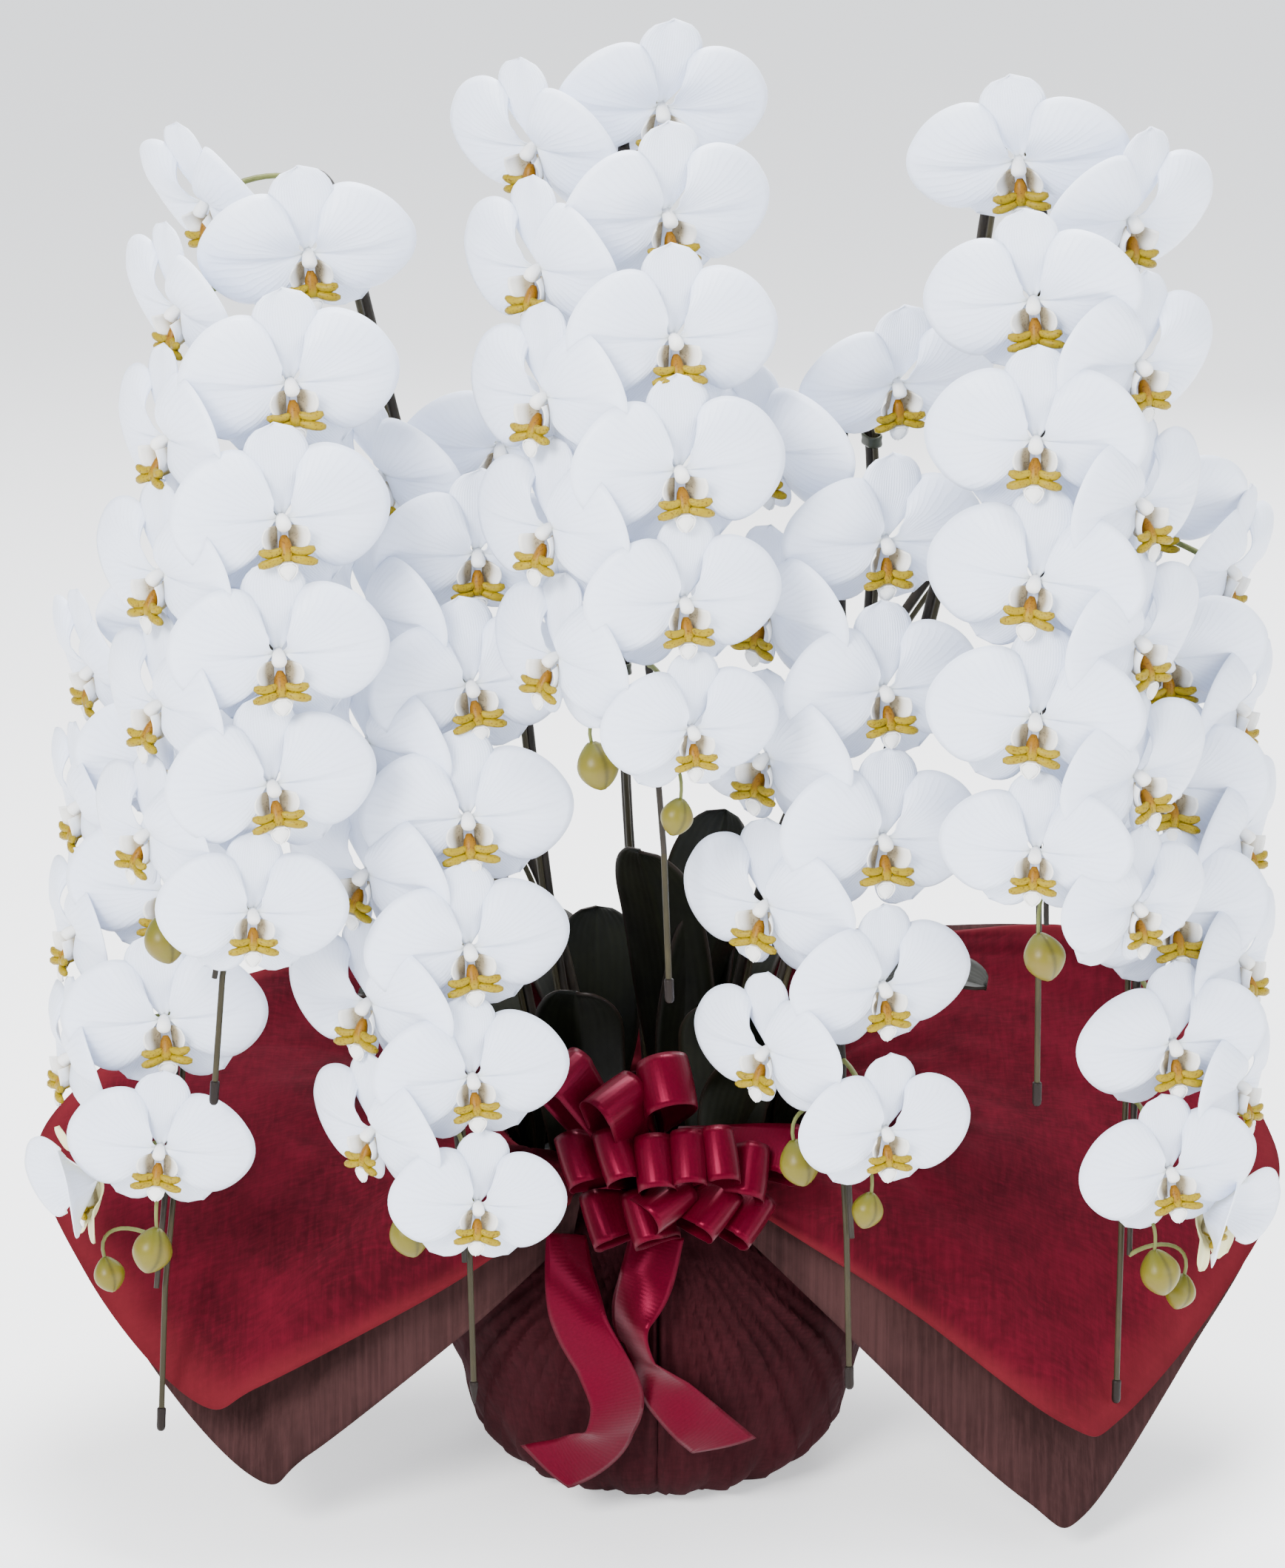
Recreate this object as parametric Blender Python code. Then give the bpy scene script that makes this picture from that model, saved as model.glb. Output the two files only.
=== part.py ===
"""A gift moth orchid: seven arching flower spikes in one wrapped ceramic pot.

Metres, +Z up. The origin is the centre of the wrapped pot's underside, and the flowers face -Y.
Azimuths are degrees round +Z, from 0 at the front (-Y) towards +X.
"""

from math import cos, pi, radians, sin
from typing import NamedTuple

import bmesh
import bpy
import numpy as np
from mathutils import Vector

# Clearance between pieces that touch or fit together
CLEARANCE = 0.0003

# Ceramic pot
POT_HEIGHT = 0.165
POT_BASE_RADIUS = 0.064
POT_RIM_RADIUS = 0.112
POT_WALL = 0.007
POT_SIDES = 28

# Moss that fills the pot
MOSS_BELOW_RIM = 0.008
MOSS_DOME = 0.012
SOCKET_DEPTH = 0.06

# Cloth round the pot, gathered at the neck
CLOTH = 0.0012
WRAP_BASE_RADIUS = 0.070
WRAP_BELLY_RADIUS = 0.131
WRAP_BELLY_HEIGHT = 0.100
NECK_RADIUS = 0.095
NECK_HEIGHT = 0.205
NECK_BAND = 0.016
WRAP_SIDES = 26

# Collar sheets that flare from the neck
COLLAR_CLOTH = 0.0012
COLLAR_SPACING = 0.0020
COLLAR_LIFT = 0.045
COLLAR_STEPS = 4

# Ribbon
RIBBON_WIDTH = 0.033
RIBBON_THICKNESS = 0.0009
TIE_HEIGHT = 0.013

# Flower spikes, wires and clips
STEM_RADIUS = 0.0032
STEM_TIP_RADIUS = 0.0016
STEM_SIDES = 4
STEM_STATIONS = 17
WIRE_RADIUS = 0.00175
WIRE_SIDES = 4
WIRE_SPACING = 0.0012
WIRE_RELIEF = 0.0004  # left free round the wire where a petal meets it
CAP_RADIUS = 0.0027
CAP_LENGTH = 0.014
CLIP_WALL = 0.0012
CLIP_LENGTH = 0.007
CLIP_SLACK = 0.0005
CLIP_SIDES = 8
CLIP_PLACES = (0.2, 0.4)

# Blooms and buds
BLOOM_SPAN = 0.108
BLOOM_HEIGHT = 0.098
BLOOM_DEPTH = 0.005
BLOOM_REACH = 0.060
BLOOM_DROP = 0.022
BLOOM_NOD = 8.0
CREST_NOD = 22.0
CREST_BLOOMS = 4
GAZE_SHARE = 0.85
PEDICEL_RADIUS = 0.0016
LIP_REACH = 0.012
LIP_DROP = 0.010
BUD_LENGTH = 0.026
BUD_REACH = 0.042
BUD_PITCH = 0.030
BUD_SHRINK = 0.78
BUD_DROP = 0.010

# Leaves
LEAF_WIDTH = 0.054
LEAF_FOOT_SHARE = 0.34
LEAF_TROUGH = 0.2
LEAF_THICKNESS = 0.0022
LEAF_STEPS = 5
CROWN_RADIUS = 0.009
CROWN_HEIGHT = 0.022
CROWN_GAP = 0.0051  # between the leaves' crown and the wire beside the stem
CROWN_OFFSET = STEM_RADIUS + WIRE_SPACING + 2 * WIRE_RADIUS + CROWN_GAP + CROWN_RADIUS


class Leaf(NamedTuple):
    """One strap leaf: its azimuth, its length, and its slope in degrees at the tip."""

    azimuth: float
    length: float
    tip_slope: float


class Spike(NamedTuple):
    """A plant's own sizes: the points that its stem grows through, how its blooms sit, and its leaves."""

    name: str
    route: tuple
    turn: float  # azimuth that the spike faces
    fan: float  # each row of blooms faces this far to its side of turn
    blooms: int
    pitch: float  # along the stem, from one bloom to the next
    bare_tip: float  # from the last bloom to the stem's tip
    lowest: int  # side of the last bloom: 1 is right, -1 is left
    buds: int
    wire_tail: float  # how far the wire hangs past the stem's tip
    leaves: tuple


SPIKES = (
    Spike(
        "left_tall",
        (
            (-0.056, 0.006, 0.180),
            (-0.110, 0.025, 0.440),
            (-0.163, 0.020, 0.680),
            (-0.188, -0.055, 0.812),
            (-0.205, -0.150, 0.800),
            (-0.215, -0.200, 0.675),
            (-0.222, -0.210, 0.535),
            (-0.250, -0.215, 0.380),
        ),
        turn=-25,
        fan=37,
        blooms=12,
        pitch=0.0365,
        bare_tip=0.080,
        lowest=1,
        buds=1,
        wire_tail=0.062,
        leaves=(Leaf(-80, 0.190, -10), Leaf(-128, 0.175, 0)),
    ),
    Spike(
        "left_low",
        (
            (-0.030, 0.055, 0.180),
            (-0.075, 0.080, 0.350),
            (-0.170, 0.080, 0.495),
            (-0.245, 0.010, 0.565),
            (-0.270, -0.050, 0.545),
            (-0.280, -0.090, 0.420),
            (-0.285, -0.134, 0.280),
            (-0.295, -0.162, 0.170),
        ),
        turn=-40,
        fan=38,
        blooms=10,
        pitch=0.0370,
        bare_tip=0.088,
        lowest=-1,
        buds=2,
        wire_tail=0.073,
        leaves=(Leaf(-145, 0.185, -5), Leaf(-178, 0.150, 58)),
    ),
    Spike(
        "left_inner",
        (
            (-0.036, -0.044, 0.180),
            (-0.065, -0.020, 0.360),
            (-0.085, -0.015, 0.540),
            (-0.100, -0.055, 0.665),
            (-0.113, -0.115, 0.655),
            (-0.120, -0.155, 0.500),
            (-0.118, -0.180, 0.340),
            (-0.112, -0.195, 0.200),
        ),
        turn=-17,
        fan=30,
        blooms=13,
        pitch=0.0368,
        bare_tip=0.078,
        lowest=1,
        buds=1,
        wire_tail=0.075,
        leaves=(Leaf(-47, 0.170, 12), Leaf(-5, 0.160, 64)),
    ),
    Spike(
        "centre",
        (
            (0.000, 0.000, 0.183),
            (-0.020, 0.020, 0.450),
            (-0.020, 0.020, 0.740),
            (-0.022, -0.055, 0.874),
            (-0.020, -0.140, 0.864),
            (-0.014, -0.200, 0.745),
            (-0.008, -0.215, 0.600),
            (0.003, -0.220, 0.455),
        ),
        turn=-15,
        fan=37,
        blooms=11,
        pitch=0.0352,
        bare_tip=0.108,
        lowest=1,
        buds=2,
        wire_tail=0.075,
        leaves=(Leaf(-22, 0.250, 52), Leaf(40, 0.210, 60), Leaf(150, 0.230, 58)),
    ),
    Spike(
        "right_inner",
        (
            (0.036, -0.044, 0.180),
            (0.085, -0.015, 0.350),
            (0.125, -0.015, 0.530),
            (0.120, -0.055, 0.698),
            (0.105, -0.120, 0.695),
            (0.103, -0.155, 0.530),
            (0.104, -0.180, 0.360),
            (0.112, -0.195, 0.215),
        ),
        turn=-12,
        fan=33,
        blooms=11,
        pitch=0.0415,
        bare_tip=0.106,
        lowest=1,
        buds=2,
        wire_tail=0.080,
        leaves=(Leaf(28, 0.180, 8), Leaf(-4, 0.150, 64)),
    ),
    Spike(
        "right_tall",
        (
            (0.056, 0.006, 0.180),
            (0.120, 0.030, 0.370),
            (0.172, 0.025, 0.570),
            (0.190, -0.005, 0.770),
            (0.200, -0.085, 0.870),
            (0.210, -0.175, 0.790),
            (0.213, -0.205, 0.600),
            (0.218, -0.210, 0.410),
        ),
        turn=20,
        fan=30,
        blooms=12,
        pitch=0.0375,
        bare_tip=0.045,
        lowest=1,
        buds=1,
        wire_tail=0.095,
        leaves=(Leaf(64, 0.235, -14), Leaf(54, 0.165, 8)),
    ),
    Spike(
        "right_low",
        (
            (0.030, 0.055, 0.180),
            (0.075, 0.080, 0.370),
            (0.170, 0.080, 0.545),
            (0.248, 0.005, 0.648),
            (0.268, -0.055, 0.630),
            (0.279, -0.095, 0.490),
            (0.280, -0.130, 0.330),
            (0.277, -0.160, 0.190),
        ),
        turn=42,
        fan=28,
        blooms=12,
        pitch=0.0368,
        bare_tip=0.055,
        lowest=1,
        buds=2,
        wire_tail=0.077,
        leaves=(Leaf(150, 0.190, -5), Leaf(-175, 0.160, 58)),
    ),
)


# The collar's outer edge on one side, from the front edge round to the back, as
# (azimuth of its foot on the neck, x, y, z). The sides differ, so each has its own.
RED_RIGHT = (
    (22, 0.052, -0.118, 0.205),
    (36, 0.150, -0.150, 0.150),
    (50, 0.240, -0.178, 0.090),
    (60, 0.275, -0.165, 0.088),
    (76, 0.345, -0.085, 0.135),
    (92, 0.387, 0.000, 0.187),
    (112, 0.345, 0.060, 0.255),
    (132, 0.285, 0.100, 0.304),
    (156, 0.146, 0.140, 0.292),
    (180, 0.000, 0.155, 0.262),
)
RED_LEFT = (
    (-22, -0.052, -0.118, 0.205),
    (-36, -0.140, -0.145, 0.155),
    (-50, -0.235, -0.168, 0.110),
    (-60, -0.277, -0.160, 0.098),
    (-76, -0.345, -0.085, 0.145),
    (-92, -0.386, 0.000, 0.201),
    (-112, -0.335, 0.060, 0.240),
    (-132, -0.268, 0.110, 0.272),
    (-156, -0.146, 0.140, 0.280),
    (-180, 0.000, 0.155, 0.262),
)
BROWN_RIGHT = (
    (22, 0.050, -0.116, 0.186),
    (36, 0.125, -0.132, 0.115),
    (50, 0.220, -0.162, 0.034),
    (60, 0.256, -0.158, 0.022),
    (76, 0.325, -0.080, 0.092),
    (92, 0.380, 0.004, 0.165),
    (112, 0.342, 0.066, 0.238),
    (132, 0.285, 0.110, 0.298),
    (156, 0.146, 0.152, 0.292),
    (180, 0.000, 0.168, 0.262),
)
BROWN_LEFT = (
    (-22, -0.050, -0.116, 0.186),
    (-36, -0.120, -0.130, 0.125),
    (-50, -0.205, -0.152, 0.060),
    (-60, -0.243, -0.152, 0.044),
    (-76, -0.320, -0.080, 0.105),
    (-92, -0.378, 0.004, 0.180),
    (-112, -0.332, 0.066, 0.226),
    (-132, -0.268, 0.120, 0.266),
    (-156, -0.146, 0.152, 0.280),
    (-180, 0.000, 0.168, 0.262),
)


class Loop(NamedTuple):
    """A bow loop: the middle of its outer face, the tilt of its axis from upright, and its half width."""

    x: float
    z: float
    front: float
    tilt: float
    half_width: float


BOW_LOOPS = (
    Loop(-0.060, 0.303, 0.028, 52, 0.011),
    Loop(-0.027, 0.296, 0.046, 62, 0.012),
    Loop(0.007, 0.302, 0.046, -14, 0.015),
    Loop(-0.054, 0.250, 0.044, -20, 0.010),
    Loop(-0.029, 0.258, 0.055, -18, 0.010),
    Loop(-0.003, 0.257, 0.060, -6, 0.011),
    Loop(0.020, 0.260, 0.060, -3, 0.010),
    Loop(0.041, 0.260, 0.055, -6, 0.010),
    Loop(0.062, 0.243, 0.044, 12, 0.010),
    Loop(0.086, 0.246, 0.026, 20, 0.010),
    Loop(-0.041, 0.212, 0.044, -22, 0.009),
    Loop(-0.014, 0.219, 0.055, -18, 0.010),
    Loop(0.011, 0.227, 0.060, 65, 0.010),
    Loop(0.040, 0.220, 0.055, 42, 0.009),
    Loop(0.061, 0.210, 0.044, 40, 0.009),
)
KNOT_LEAD = 0.024  # from the neck out to the knot's middle
KNOT = Vector((0.003, -NECK_RADIUS - KNOT_LEAD, 0.232))
KNOT_SIZE = (0.030, 0.010, 0.026)

# Routes of the two tails' centre lines, from under the bow to the cut end
LEFT_TAIL = (
    (-0.054, -0.128, 0.190),
    (-0.051, -0.143, 0.164),
    (-0.045, -0.149, 0.140),
    (-0.031, -0.151, 0.113),
    (-0.024, -0.147, 0.089),
    (-0.031, -0.138, 0.063),
    (-0.050, -0.130, 0.046),
    (-0.068, -0.124, 0.038),
)
RIGHT_TAIL = (
    (0.000, -0.124, 0.190),
    (-0.007, -0.136, 0.164),
    (-0.016, -0.142, 0.141),
    (-0.012, -0.143, 0.122),
    (0.002, -0.142, 0.099),
    (0.020, -0.139, 0.077),
    (0.040, -0.128, 0.054),
)

# Colours, as linear red, green and blue
STEM_GREEN = (0.045, 0.050, 0.022)
PETAL_WHITE = (0.86, 0.87, 0.90)
LEAF_GREEN = (0.020, 0.032, 0.014)
WIRE_BROWN = (0.11, 0.085, 0.045)
CAP_BROWN = (0.035, 0.022, 0.018)
CLIP_GREEN = (0.05, 0.16, 0.05)
POT_WHITE = (0.78, 0.77, 0.74)
MOSS_TAN = (0.19, 0.15, 0.07)
WRAP_RED = (0.045, 0.010, 0.014)
SHEET_RED = (0.27, 0.008, 0.030)
SHEET_BROWN = (0.085, 0.036, 0.034)
RIBBON_RED = (0.34, 0.004, 0.030)


def clear_scene():
    for old in list(bpy.data.objects):
        bpy.data.objects.remove(old)


def material(name, colour, roughness):
    found = bpy.data.materials.get(name)
    if found:
        return found
    made = bpy.data.materials.new(name)
    made.use_nodes = True
    shader = made.node_tree.nodes["Principled BSDF"]
    shader.inputs["Base Color"].default_value = (*colour, 1)
    shader.inputs["Roughness"].default_value = roughness
    made.diffuse_color = (*colour, 1)
    return made


def add_mesh(name, points, faces, surface):
    """A new object from points and faces, with its faces turned outwards."""
    data = bpy.data.meshes.new(name)
    data.from_pydata([tuple(p) for p in points], [], faces)
    turned = bmesh.new()
    turned.from_mesh(data)
    bmesh.ops.recalc_face_normals(turned, faces=turned.faces)
    turned.to_mesh(data)
    turned.free()
    data.materials.append(surface)
    data.shade_smooth()
    data.set_sharp_from_angle(angle=radians(40))
    made = bpy.data.objects.new(name, data)
    bpy.context.scene.collection.objects.link(made)
    return made


def outward(azimuth):
    """The level unit vector at an azimuth in degrees."""
    return Vector((sin(radians(azimuth)), -cos(radians(azimuth)), 0))


def smooth_line(points, steps=12):
    """A smooth curve through points, as Catmull and Rom draw it."""
    given = np.array(points, float)
    ends = np.vstack([2 * given[0] - given[1], given, 2 * given[-1] - given[-2]])
    line = []
    for a, b, c, d in zip(ends, ends[1:], ends[2:], ends[3:]):
        for t in np.linspace(0, 1, steps, endpoint=False):
            bend = (2 * a - 5 * b + 4 * c - d) * t * t + (3 * b - a - 3 * c + d) * t**3
            line.append(0.5 * (2 * b + (c - a) * t + bend))
    line.append(given[-1])
    return np.array(line)


class Path:
    """A smooth curve that can be read at any distance from its start."""

    def __init__(self, points):
        self.line = smooth_line(points)
        steps = np.linalg.norm(np.diff(self.line, axis=0), axis=1)
        self.along = np.concatenate([[0], np.cumsum(steps)])
        self.length = self.along[-1]

    def at(self, distance):
        return Vector([np.interp(distance, self.along, self.line[:, k]) for k in range(3)])

    def stations(self, count):
        """Distances from start to end, closest together where the curve bends."""
        steps = np.diff(self.line, axis=0)
        ways = steps / np.linalg.norm(steps, axis=1)[:, None]
        bends = np.arccos(np.clip((ways[1:] * ways[:-1]).sum(axis=1), -1, 1))
        bent = np.concatenate([[0], np.cumsum(bends), [bends.sum()]])
        measure = self.along / self.length + bent / bends.sum()
        return np.interp(np.linspace(0, 2, count + 1), measure, self.along)

    def tangent(self, distance, step=0.003):
        before = self.at(max(distance - step, 0))
        after = self.at(min(distance + step, self.length))
        return (after - before).normalized()


def sweep(rings):
    """Points and faces of a closed skin over rings of equal count, with a flat face on each end."""
    count = len(rings[0])
    points = [p for ring in rings for p in ring]
    faces = [list(range(count)), list(range(len(points) - count, len(points)))]
    for i in range(len(rings) - 1):
        for j in range(count):
            k = (j + 1) % count
            low, high = i * count, (i + 1) * count
            faces.append([low + j, low + k, high + k, high + j])
    return points, faces


def tube(name, centres, sides_of, radii, sides, surface):
    """A round rod along centres. sides_of gives the level direction that its rings start from."""
    rings = []
    for i, centre in enumerate(centres):
        along = (centres[min(i + 1, len(centres) - 1)] - centres[max(i - 1, 0)]).normalized()
        first = (sides_of - along * sides_of.dot(along)).normalized()
        second = along.cross(first)
        turns = [2 * pi * j / sides for j in range(sides)]
        rings.append([centre + radii[i] * (cos(a) * first + sin(a) * second) for a in turns])
    return add_mesh(name, *sweep(rings), surface)


def join_shells(name, shells):
    """One hidden object that holds the shells' meshes, to be joined to a body by a Boolean."""
    whole = bmesh.new()
    for shell in shells:
        whole.from_mesh(shell.data)
        bpy.data.objects.remove(shell)
    data = bpy.data.meshes.new(name)
    whole.to_mesh(data)
    whole.free()
    made = bpy.data.objects.new(name, data)
    made.hide_render = True
    made.display_type = "WIRE"
    bpy.context.scene.collection.objects.link(made)
    return made


def boolean(body, other, operation):
    change = body.modifiers.new(operation.lower(), "BOOLEAN")
    change.operation = operation
    change.solver = "EXACT"
    change.use_self = operation == "UNION"
    change.object = other
    return body


def turned(name, profile, sides, surface):
    """A body turned round Z, from a loop of (radius, height) that starts and ends on Z."""
    points, faces = [(0, 0, profile[0][1]), (0, 0, profile[-1][1])], []
    rings = profile[1:-1]
    for radius, height in rings:
        turns = [2 * pi * j / sides for j in range(sides)]
        points += [(radius * cos(a), radius * sin(a), height) for a in turns]
    for j in range(sides):
        k = (j + 1) % sides
        faces.append([0, 2 + j, 2 + k])
        last = 2 + (len(rings) - 1) * sides
        faces.append([1, last + k, last + j])
        for i in range(len(rings) - 1):
            low, high = 2 + i * sides, 2 + (i + 1) * sides
            faces.append([low + j, high + j, high + k, low + k])
    return add_mesh(name, points, faces, surface)


# Pot, moss and wrapping

POT_FLOOR = CLOTH + CLEARANCE
POT_TOP = POT_FLOOR + POT_HEIGHT
MOSS_EDGE = POT_TOP - MOSS_BELOW_RIM
MOSS_TOP = MOSS_EDGE + MOSS_DOME


def pot_radius(height):
    """The pot's outer radius at a height above the ground."""
    share = (height - POT_FLOOR) / POT_HEIGHT
    return POT_BASE_RADIUS + (POT_RIM_RADIUS - POT_BASE_RADIUS) * share


def moss_height(x, y):
    """How high the moss reaches at a point."""
    edge = pot_radius(MOSS_EDGE) - POT_WALL - CLEARANCE
    return MOSS_EDGE + MOSS_DOME * (1 - min((x * x + y * y) / edge**2, 1))


def make_pot():
    profile = (
        (0, POT_FLOOR),
        (POT_BASE_RADIUS, POT_FLOOR),
        (POT_RIM_RADIUS, POT_TOP),
        (POT_RIM_RADIUS - POT_WALL, POT_TOP),
        (POT_BASE_RADIUS - POT_WALL, POT_FLOOR + POT_WALL),
        (0, POT_FLOOR + POT_WALL),
    )
    turned("ceramic_pot", profile, POT_SIDES, material("pot glaze", POT_WHITE, 0.2))


def make_moss():
    bottom = POT_FLOOR + POT_WALL + CLEARANCE
    gap = POT_WALL + 1.5 * CLEARANCE
    profile = [(0, bottom), (POT_BASE_RADIUS - gap - CLEARANCE, bottom)]
    edge = pot_radius(MOSS_EDGE) - gap
    for share in (1, 0.75, 0.4):
        profile.append((edge * share, moss_height(edge * share, 0)))
    profile.append((0, MOSS_TOP))
    moss = turned("growing_moss", profile, POT_SIDES, material("moss", MOSS_TAN, 0.95))
    sockets = []
    for spike in SPIKES:
        foot = wire_foot(spike)
        hole = WIRE_RADIUS + 2 * CLEARANCE
        ends = [foot + Vector((0, 0, -SOCKET_DEPTH - CLEARANCE)), foot + Vector((0, 0, 0.02))]
        across = Vector((1, 0, 0))
        sockets.append(tube("socket", ends, across, (hole, hole), 6, moss.data.materials[0]))
    boolean(moss, join_shells("wire_sockets", sockets), "DIFFERENCE")


def wrap_outline(inset):
    """The wrap's outer profile moved inwards by inset, from the axis up to the neck's upper edge."""
    neck = NECK_RADIUS - inset
    return [
        (0, inset),
        (WRAP_BASE_RADIUS - inset * 0.4, inset),
        (0.70 * WRAP_BELLY_RADIUS - inset * 0.8, inset + 0.06 * WRAP_BELLY_HEIGHT),
        (0.89 * WRAP_BELLY_RADIUS - inset, inset * 0.5 + 0.35 * WRAP_BELLY_HEIGHT),
        (WRAP_BELLY_RADIUS - inset, WRAP_BELLY_HEIGHT),
        (0.985 * WRAP_BELLY_RADIUS - inset, 1.35 * WRAP_BELLY_HEIGHT),
        (0.90 * WRAP_BELLY_RADIUS - inset, 0.83 * NECK_HEIGHT - inset * 0.5),
        (neck + 0.004, NECK_HEIGHT - 0.62 * NECK_BAND - inset * 0.5),
        (neck, NECK_HEIGHT - 0.5 * NECK_BAND),
        (neck, NECK_HEIGHT + 0.5 * NECK_BAND),
    ]


def make_wrap():
    outside = wrap_outline(0)
    inside = wrap_outline(CLOTH)
    turned("pot_wrap", outside + inside[::-1], WRAP_SIDES, material("wrap cloth", WRAP_RED, 0.9))


def collar_point(foot, edge, share, radius, top, lift):
    """A point of a collar sheet: over the tie and out to the sheet's edge."""
    level = outward(foot)
    start = level * radius + Vector((0, 0, top))
    out = edge - start
    bend = start + level * min(0.10, 0.35 * out.length)
    bend.z += min(lift, 0.35 * out.length)
    return start * (1 - share) ** 2 + bend * 2 * share * (1 - share) + edge * share**2


def make_collar(name, left, right, radius, top, lift, surface):
    """A sheet that stands up the neck and flares out to its edge, open at the front."""
    outline = list(right) + list(left)[::-1][1:]
    turns = [row[0] if row[0] > 0 else row[0] + 360 for row in outline]
    edges = smooth_line([row[1:] for row in outline], 2)
    feet = np.interp(np.linspace(0, len(turns) - 1, len(edges)), range(len(turns)), turns)
    points, faces = [], []
    low = NECK_HEIGHT - 0.5 * TIE_HEIGHT
    for foot, edge in zip(feet, edges):
        points.append(outward(foot) * radius + Vector((0, 0, low)))
        for step in range(COLLAR_STEPS + 1):
            points.append(collar_point(foot, Vector(edge), step / COLLAR_STEPS, radius, top, lift))
    across = COLLAR_STEPS + 2
    for i in range(len(edges) - 1):
        for j in range(across - 1):
            k = i * across + j
            faces.append([k, k + 1, k + across + 1, k + across])
    sheet = add_mesh(name, points, faces, surface)
    thick = sheet.modifiers.new("cloth", "SOLIDIFY")
    thick.thickness = COLLAR_CLOTH
    thick.offset = 0
    return sheet


def make_collars():
    inner = NECK_RADIUS + COLLAR_SPACING + 0.5 * COLLAR_CLOTH
    outer = inner + COLLAR_CLOTH + COLLAR_SPACING
    under = NECK_HEIGHT + 0.5 * NECK_BAND
    top = under + COLLAR_SPACING + COLLAR_CLOTH
    red = material("red sheet", SHEET_RED, 0.85)
    make_collar("red_collar_sheet", RED_LEFT, RED_RIGHT, inner, top, COLLAR_LIFT, red)
    brown = material("brown sheet", SHEET_BROWN, 0.9)
    make_collar("brown_collar_sheet", BROWN_LEFT, BROWN_RIGHT, outer, under, 0.6 * COLLAR_LIFT, brown)


# Ribbon


def make_tie(ribbon):
    inner = NECK_RADIUS + 2 * COLLAR_CLOTH + 2.5 * COLLAR_SPACING
    outer = inner + RIBBON_THICKNESS
    low, high = NECK_HEIGHT - 0.5 * TIE_HEIGHT, NECK_HEIGHT + 0.5 * TIE_HEIGHT
    points, faces = [], []
    for j in range(WRAP_SIDES):
        level = outward(360 * j / WRAP_SIDES)
        for radius, height in ((outer, low), (outer, high), (inner, high), (inner, low)):
            points.append(level * radius + Vector((0, 0, height)))
    for j in range(WRAP_SIDES):
        k = (j + 1) % WRAP_SIDES
        for side in range(4):
            after = (side + 1) % 4
            faces.append([4 * j + side, 4 * j + after, 4 * k + after, 4 * k + side])
    add_mesh("ribbon_tie", points, faces, ribbon)


def bow_loop(loop, ribbon):
    """A loop as a closed solid of its outer shape: from the knot out to a round outer face."""
    axis = Vector((sin(radians(loop.tilt)), 0, cos(radians(loop.tilt))))
    face = Vector((loop.x, KNOT.y - loop.front, loop.z))
    out = face - KNOT
    out -= axis * out.dot(axis)
    reach = out.length
    out.normalize()
    across = axis.cross(out).normalized()
    middle = face - out * loop.half_width
    rings = []
    for side in (-0.5, 0.5):
        shift = axis * side * RIBBON_WIDTH
        ring = []
        for j in range(7):
            angle = pi * (j / 6 - 0.5)
            bulge = out * cos(angle) + across * sin(angle)
            ring.append(middle + shift + bulge * loop.half_width)
        ring.append(face - out * reach * 0.97 + shift)
        rings.append(ring)
    return add_mesh("loop", *sweep(rings), ribbon)


def box(name, centre, size, surface):
    corners = [(x, y, z) for x in (-1, 1) for y in (-1, 1) for z in (-1, 1)]
    points = [centre + Vector(corner) * Vector(size) for corner in corners]
    faces = [[0, 1, 3, 2], [4, 6, 7, 5], [0, 4, 5, 1], [2, 3, 7, 6], [0, 2, 6, 4], [1, 5, 7, 3]]
    return add_mesh(name, points, faces, surface)


def make_bow(ribbon):
    knot = box("ribbon_bow", KNOT, KNOT_SIZE, ribbon)
    loops = join_shells("bow_loops", [bow_loop(loop, ribbon) for loop in BOW_LOOPS])
    boolean(knot, loops, "UNION")


def make_tail(name, route, ribbon):
    """A flat ribbon along its route, as wide as the ribbon and facing away from the pot."""
    path = Path(route)
    points, faces = [], []
    steps = 12
    for i in range(steps + 1):
        place = path.at(path.length * i / steps)
        along = path.tangent(path.length * i / steps)
        away = Vector((0.35 * place.x / 0.1, -1, 0)).normalized()
        side = along.cross(away).normalized()
        face = side.cross(along).normalized()
        for across, lift in ((-0.5, 0), (0.5, 0), (0.5, 1), (-0.5, 1)):
            points.append(place + side * across * RIBBON_WIDTH + face * lift * RIBBON_THICKNESS)
    faces = [[0, 1, 2, 3], [4 * steps + k for k in (3, 2, 1, 0)]]
    for i in range(steps):
        for a in range(4):
            b = (a + 1) % 4
            faces.append([4 * i + a, 4 * i + b, 4 * i + 4 + b, 4 * i + 4 + a])
    add_mesh(name, points, faces, ribbon)


# Flower spikes, wires, caps and clips


def arch_side(spike):
    """The level direction square to the arch, for frames along it."""
    first, last = Vector(spike.route[0]), Vector(spike.route[-1])
    out = (last - first).normalized()
    return Vector((-out.y, out.x, 0)).normalized()


def wire_offset():
    return STEM_RADIUS + WIRE_RADIUS + WIRE_SPACING


def wire_place(spike, path, distance):
    """The wire's centre beside the stem, on the inner side of the arch."""
    inner = arch_side(spike).cross(path.tangent(distance)).normalized()
    return path.at(distance) + inner * wire_offset()


def stem_path(spike):
    """The stem's path, with its foot on the moss."""
    route = [Vector(p) for p in spike.route]
    route[0].z = moss_height(route[0].x, route[0].y) + STEM_RADIUS
    return Path(route)


def stem_point(path, distance):
    """The point at a distance along a stem, which is straight from one station to the next."""
    places = path.stations(STEM_STATIONS)
    distance = min(distance, path.length)
    k = min(int(np.searchsorted(places, distance)), STEM_STATIONS)
    share = (distance - places[k - 1]) / (places[k] - places[k - 1])
    return path.at(places[k - 1]).lerp(path.at(places[k]), share)


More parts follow.
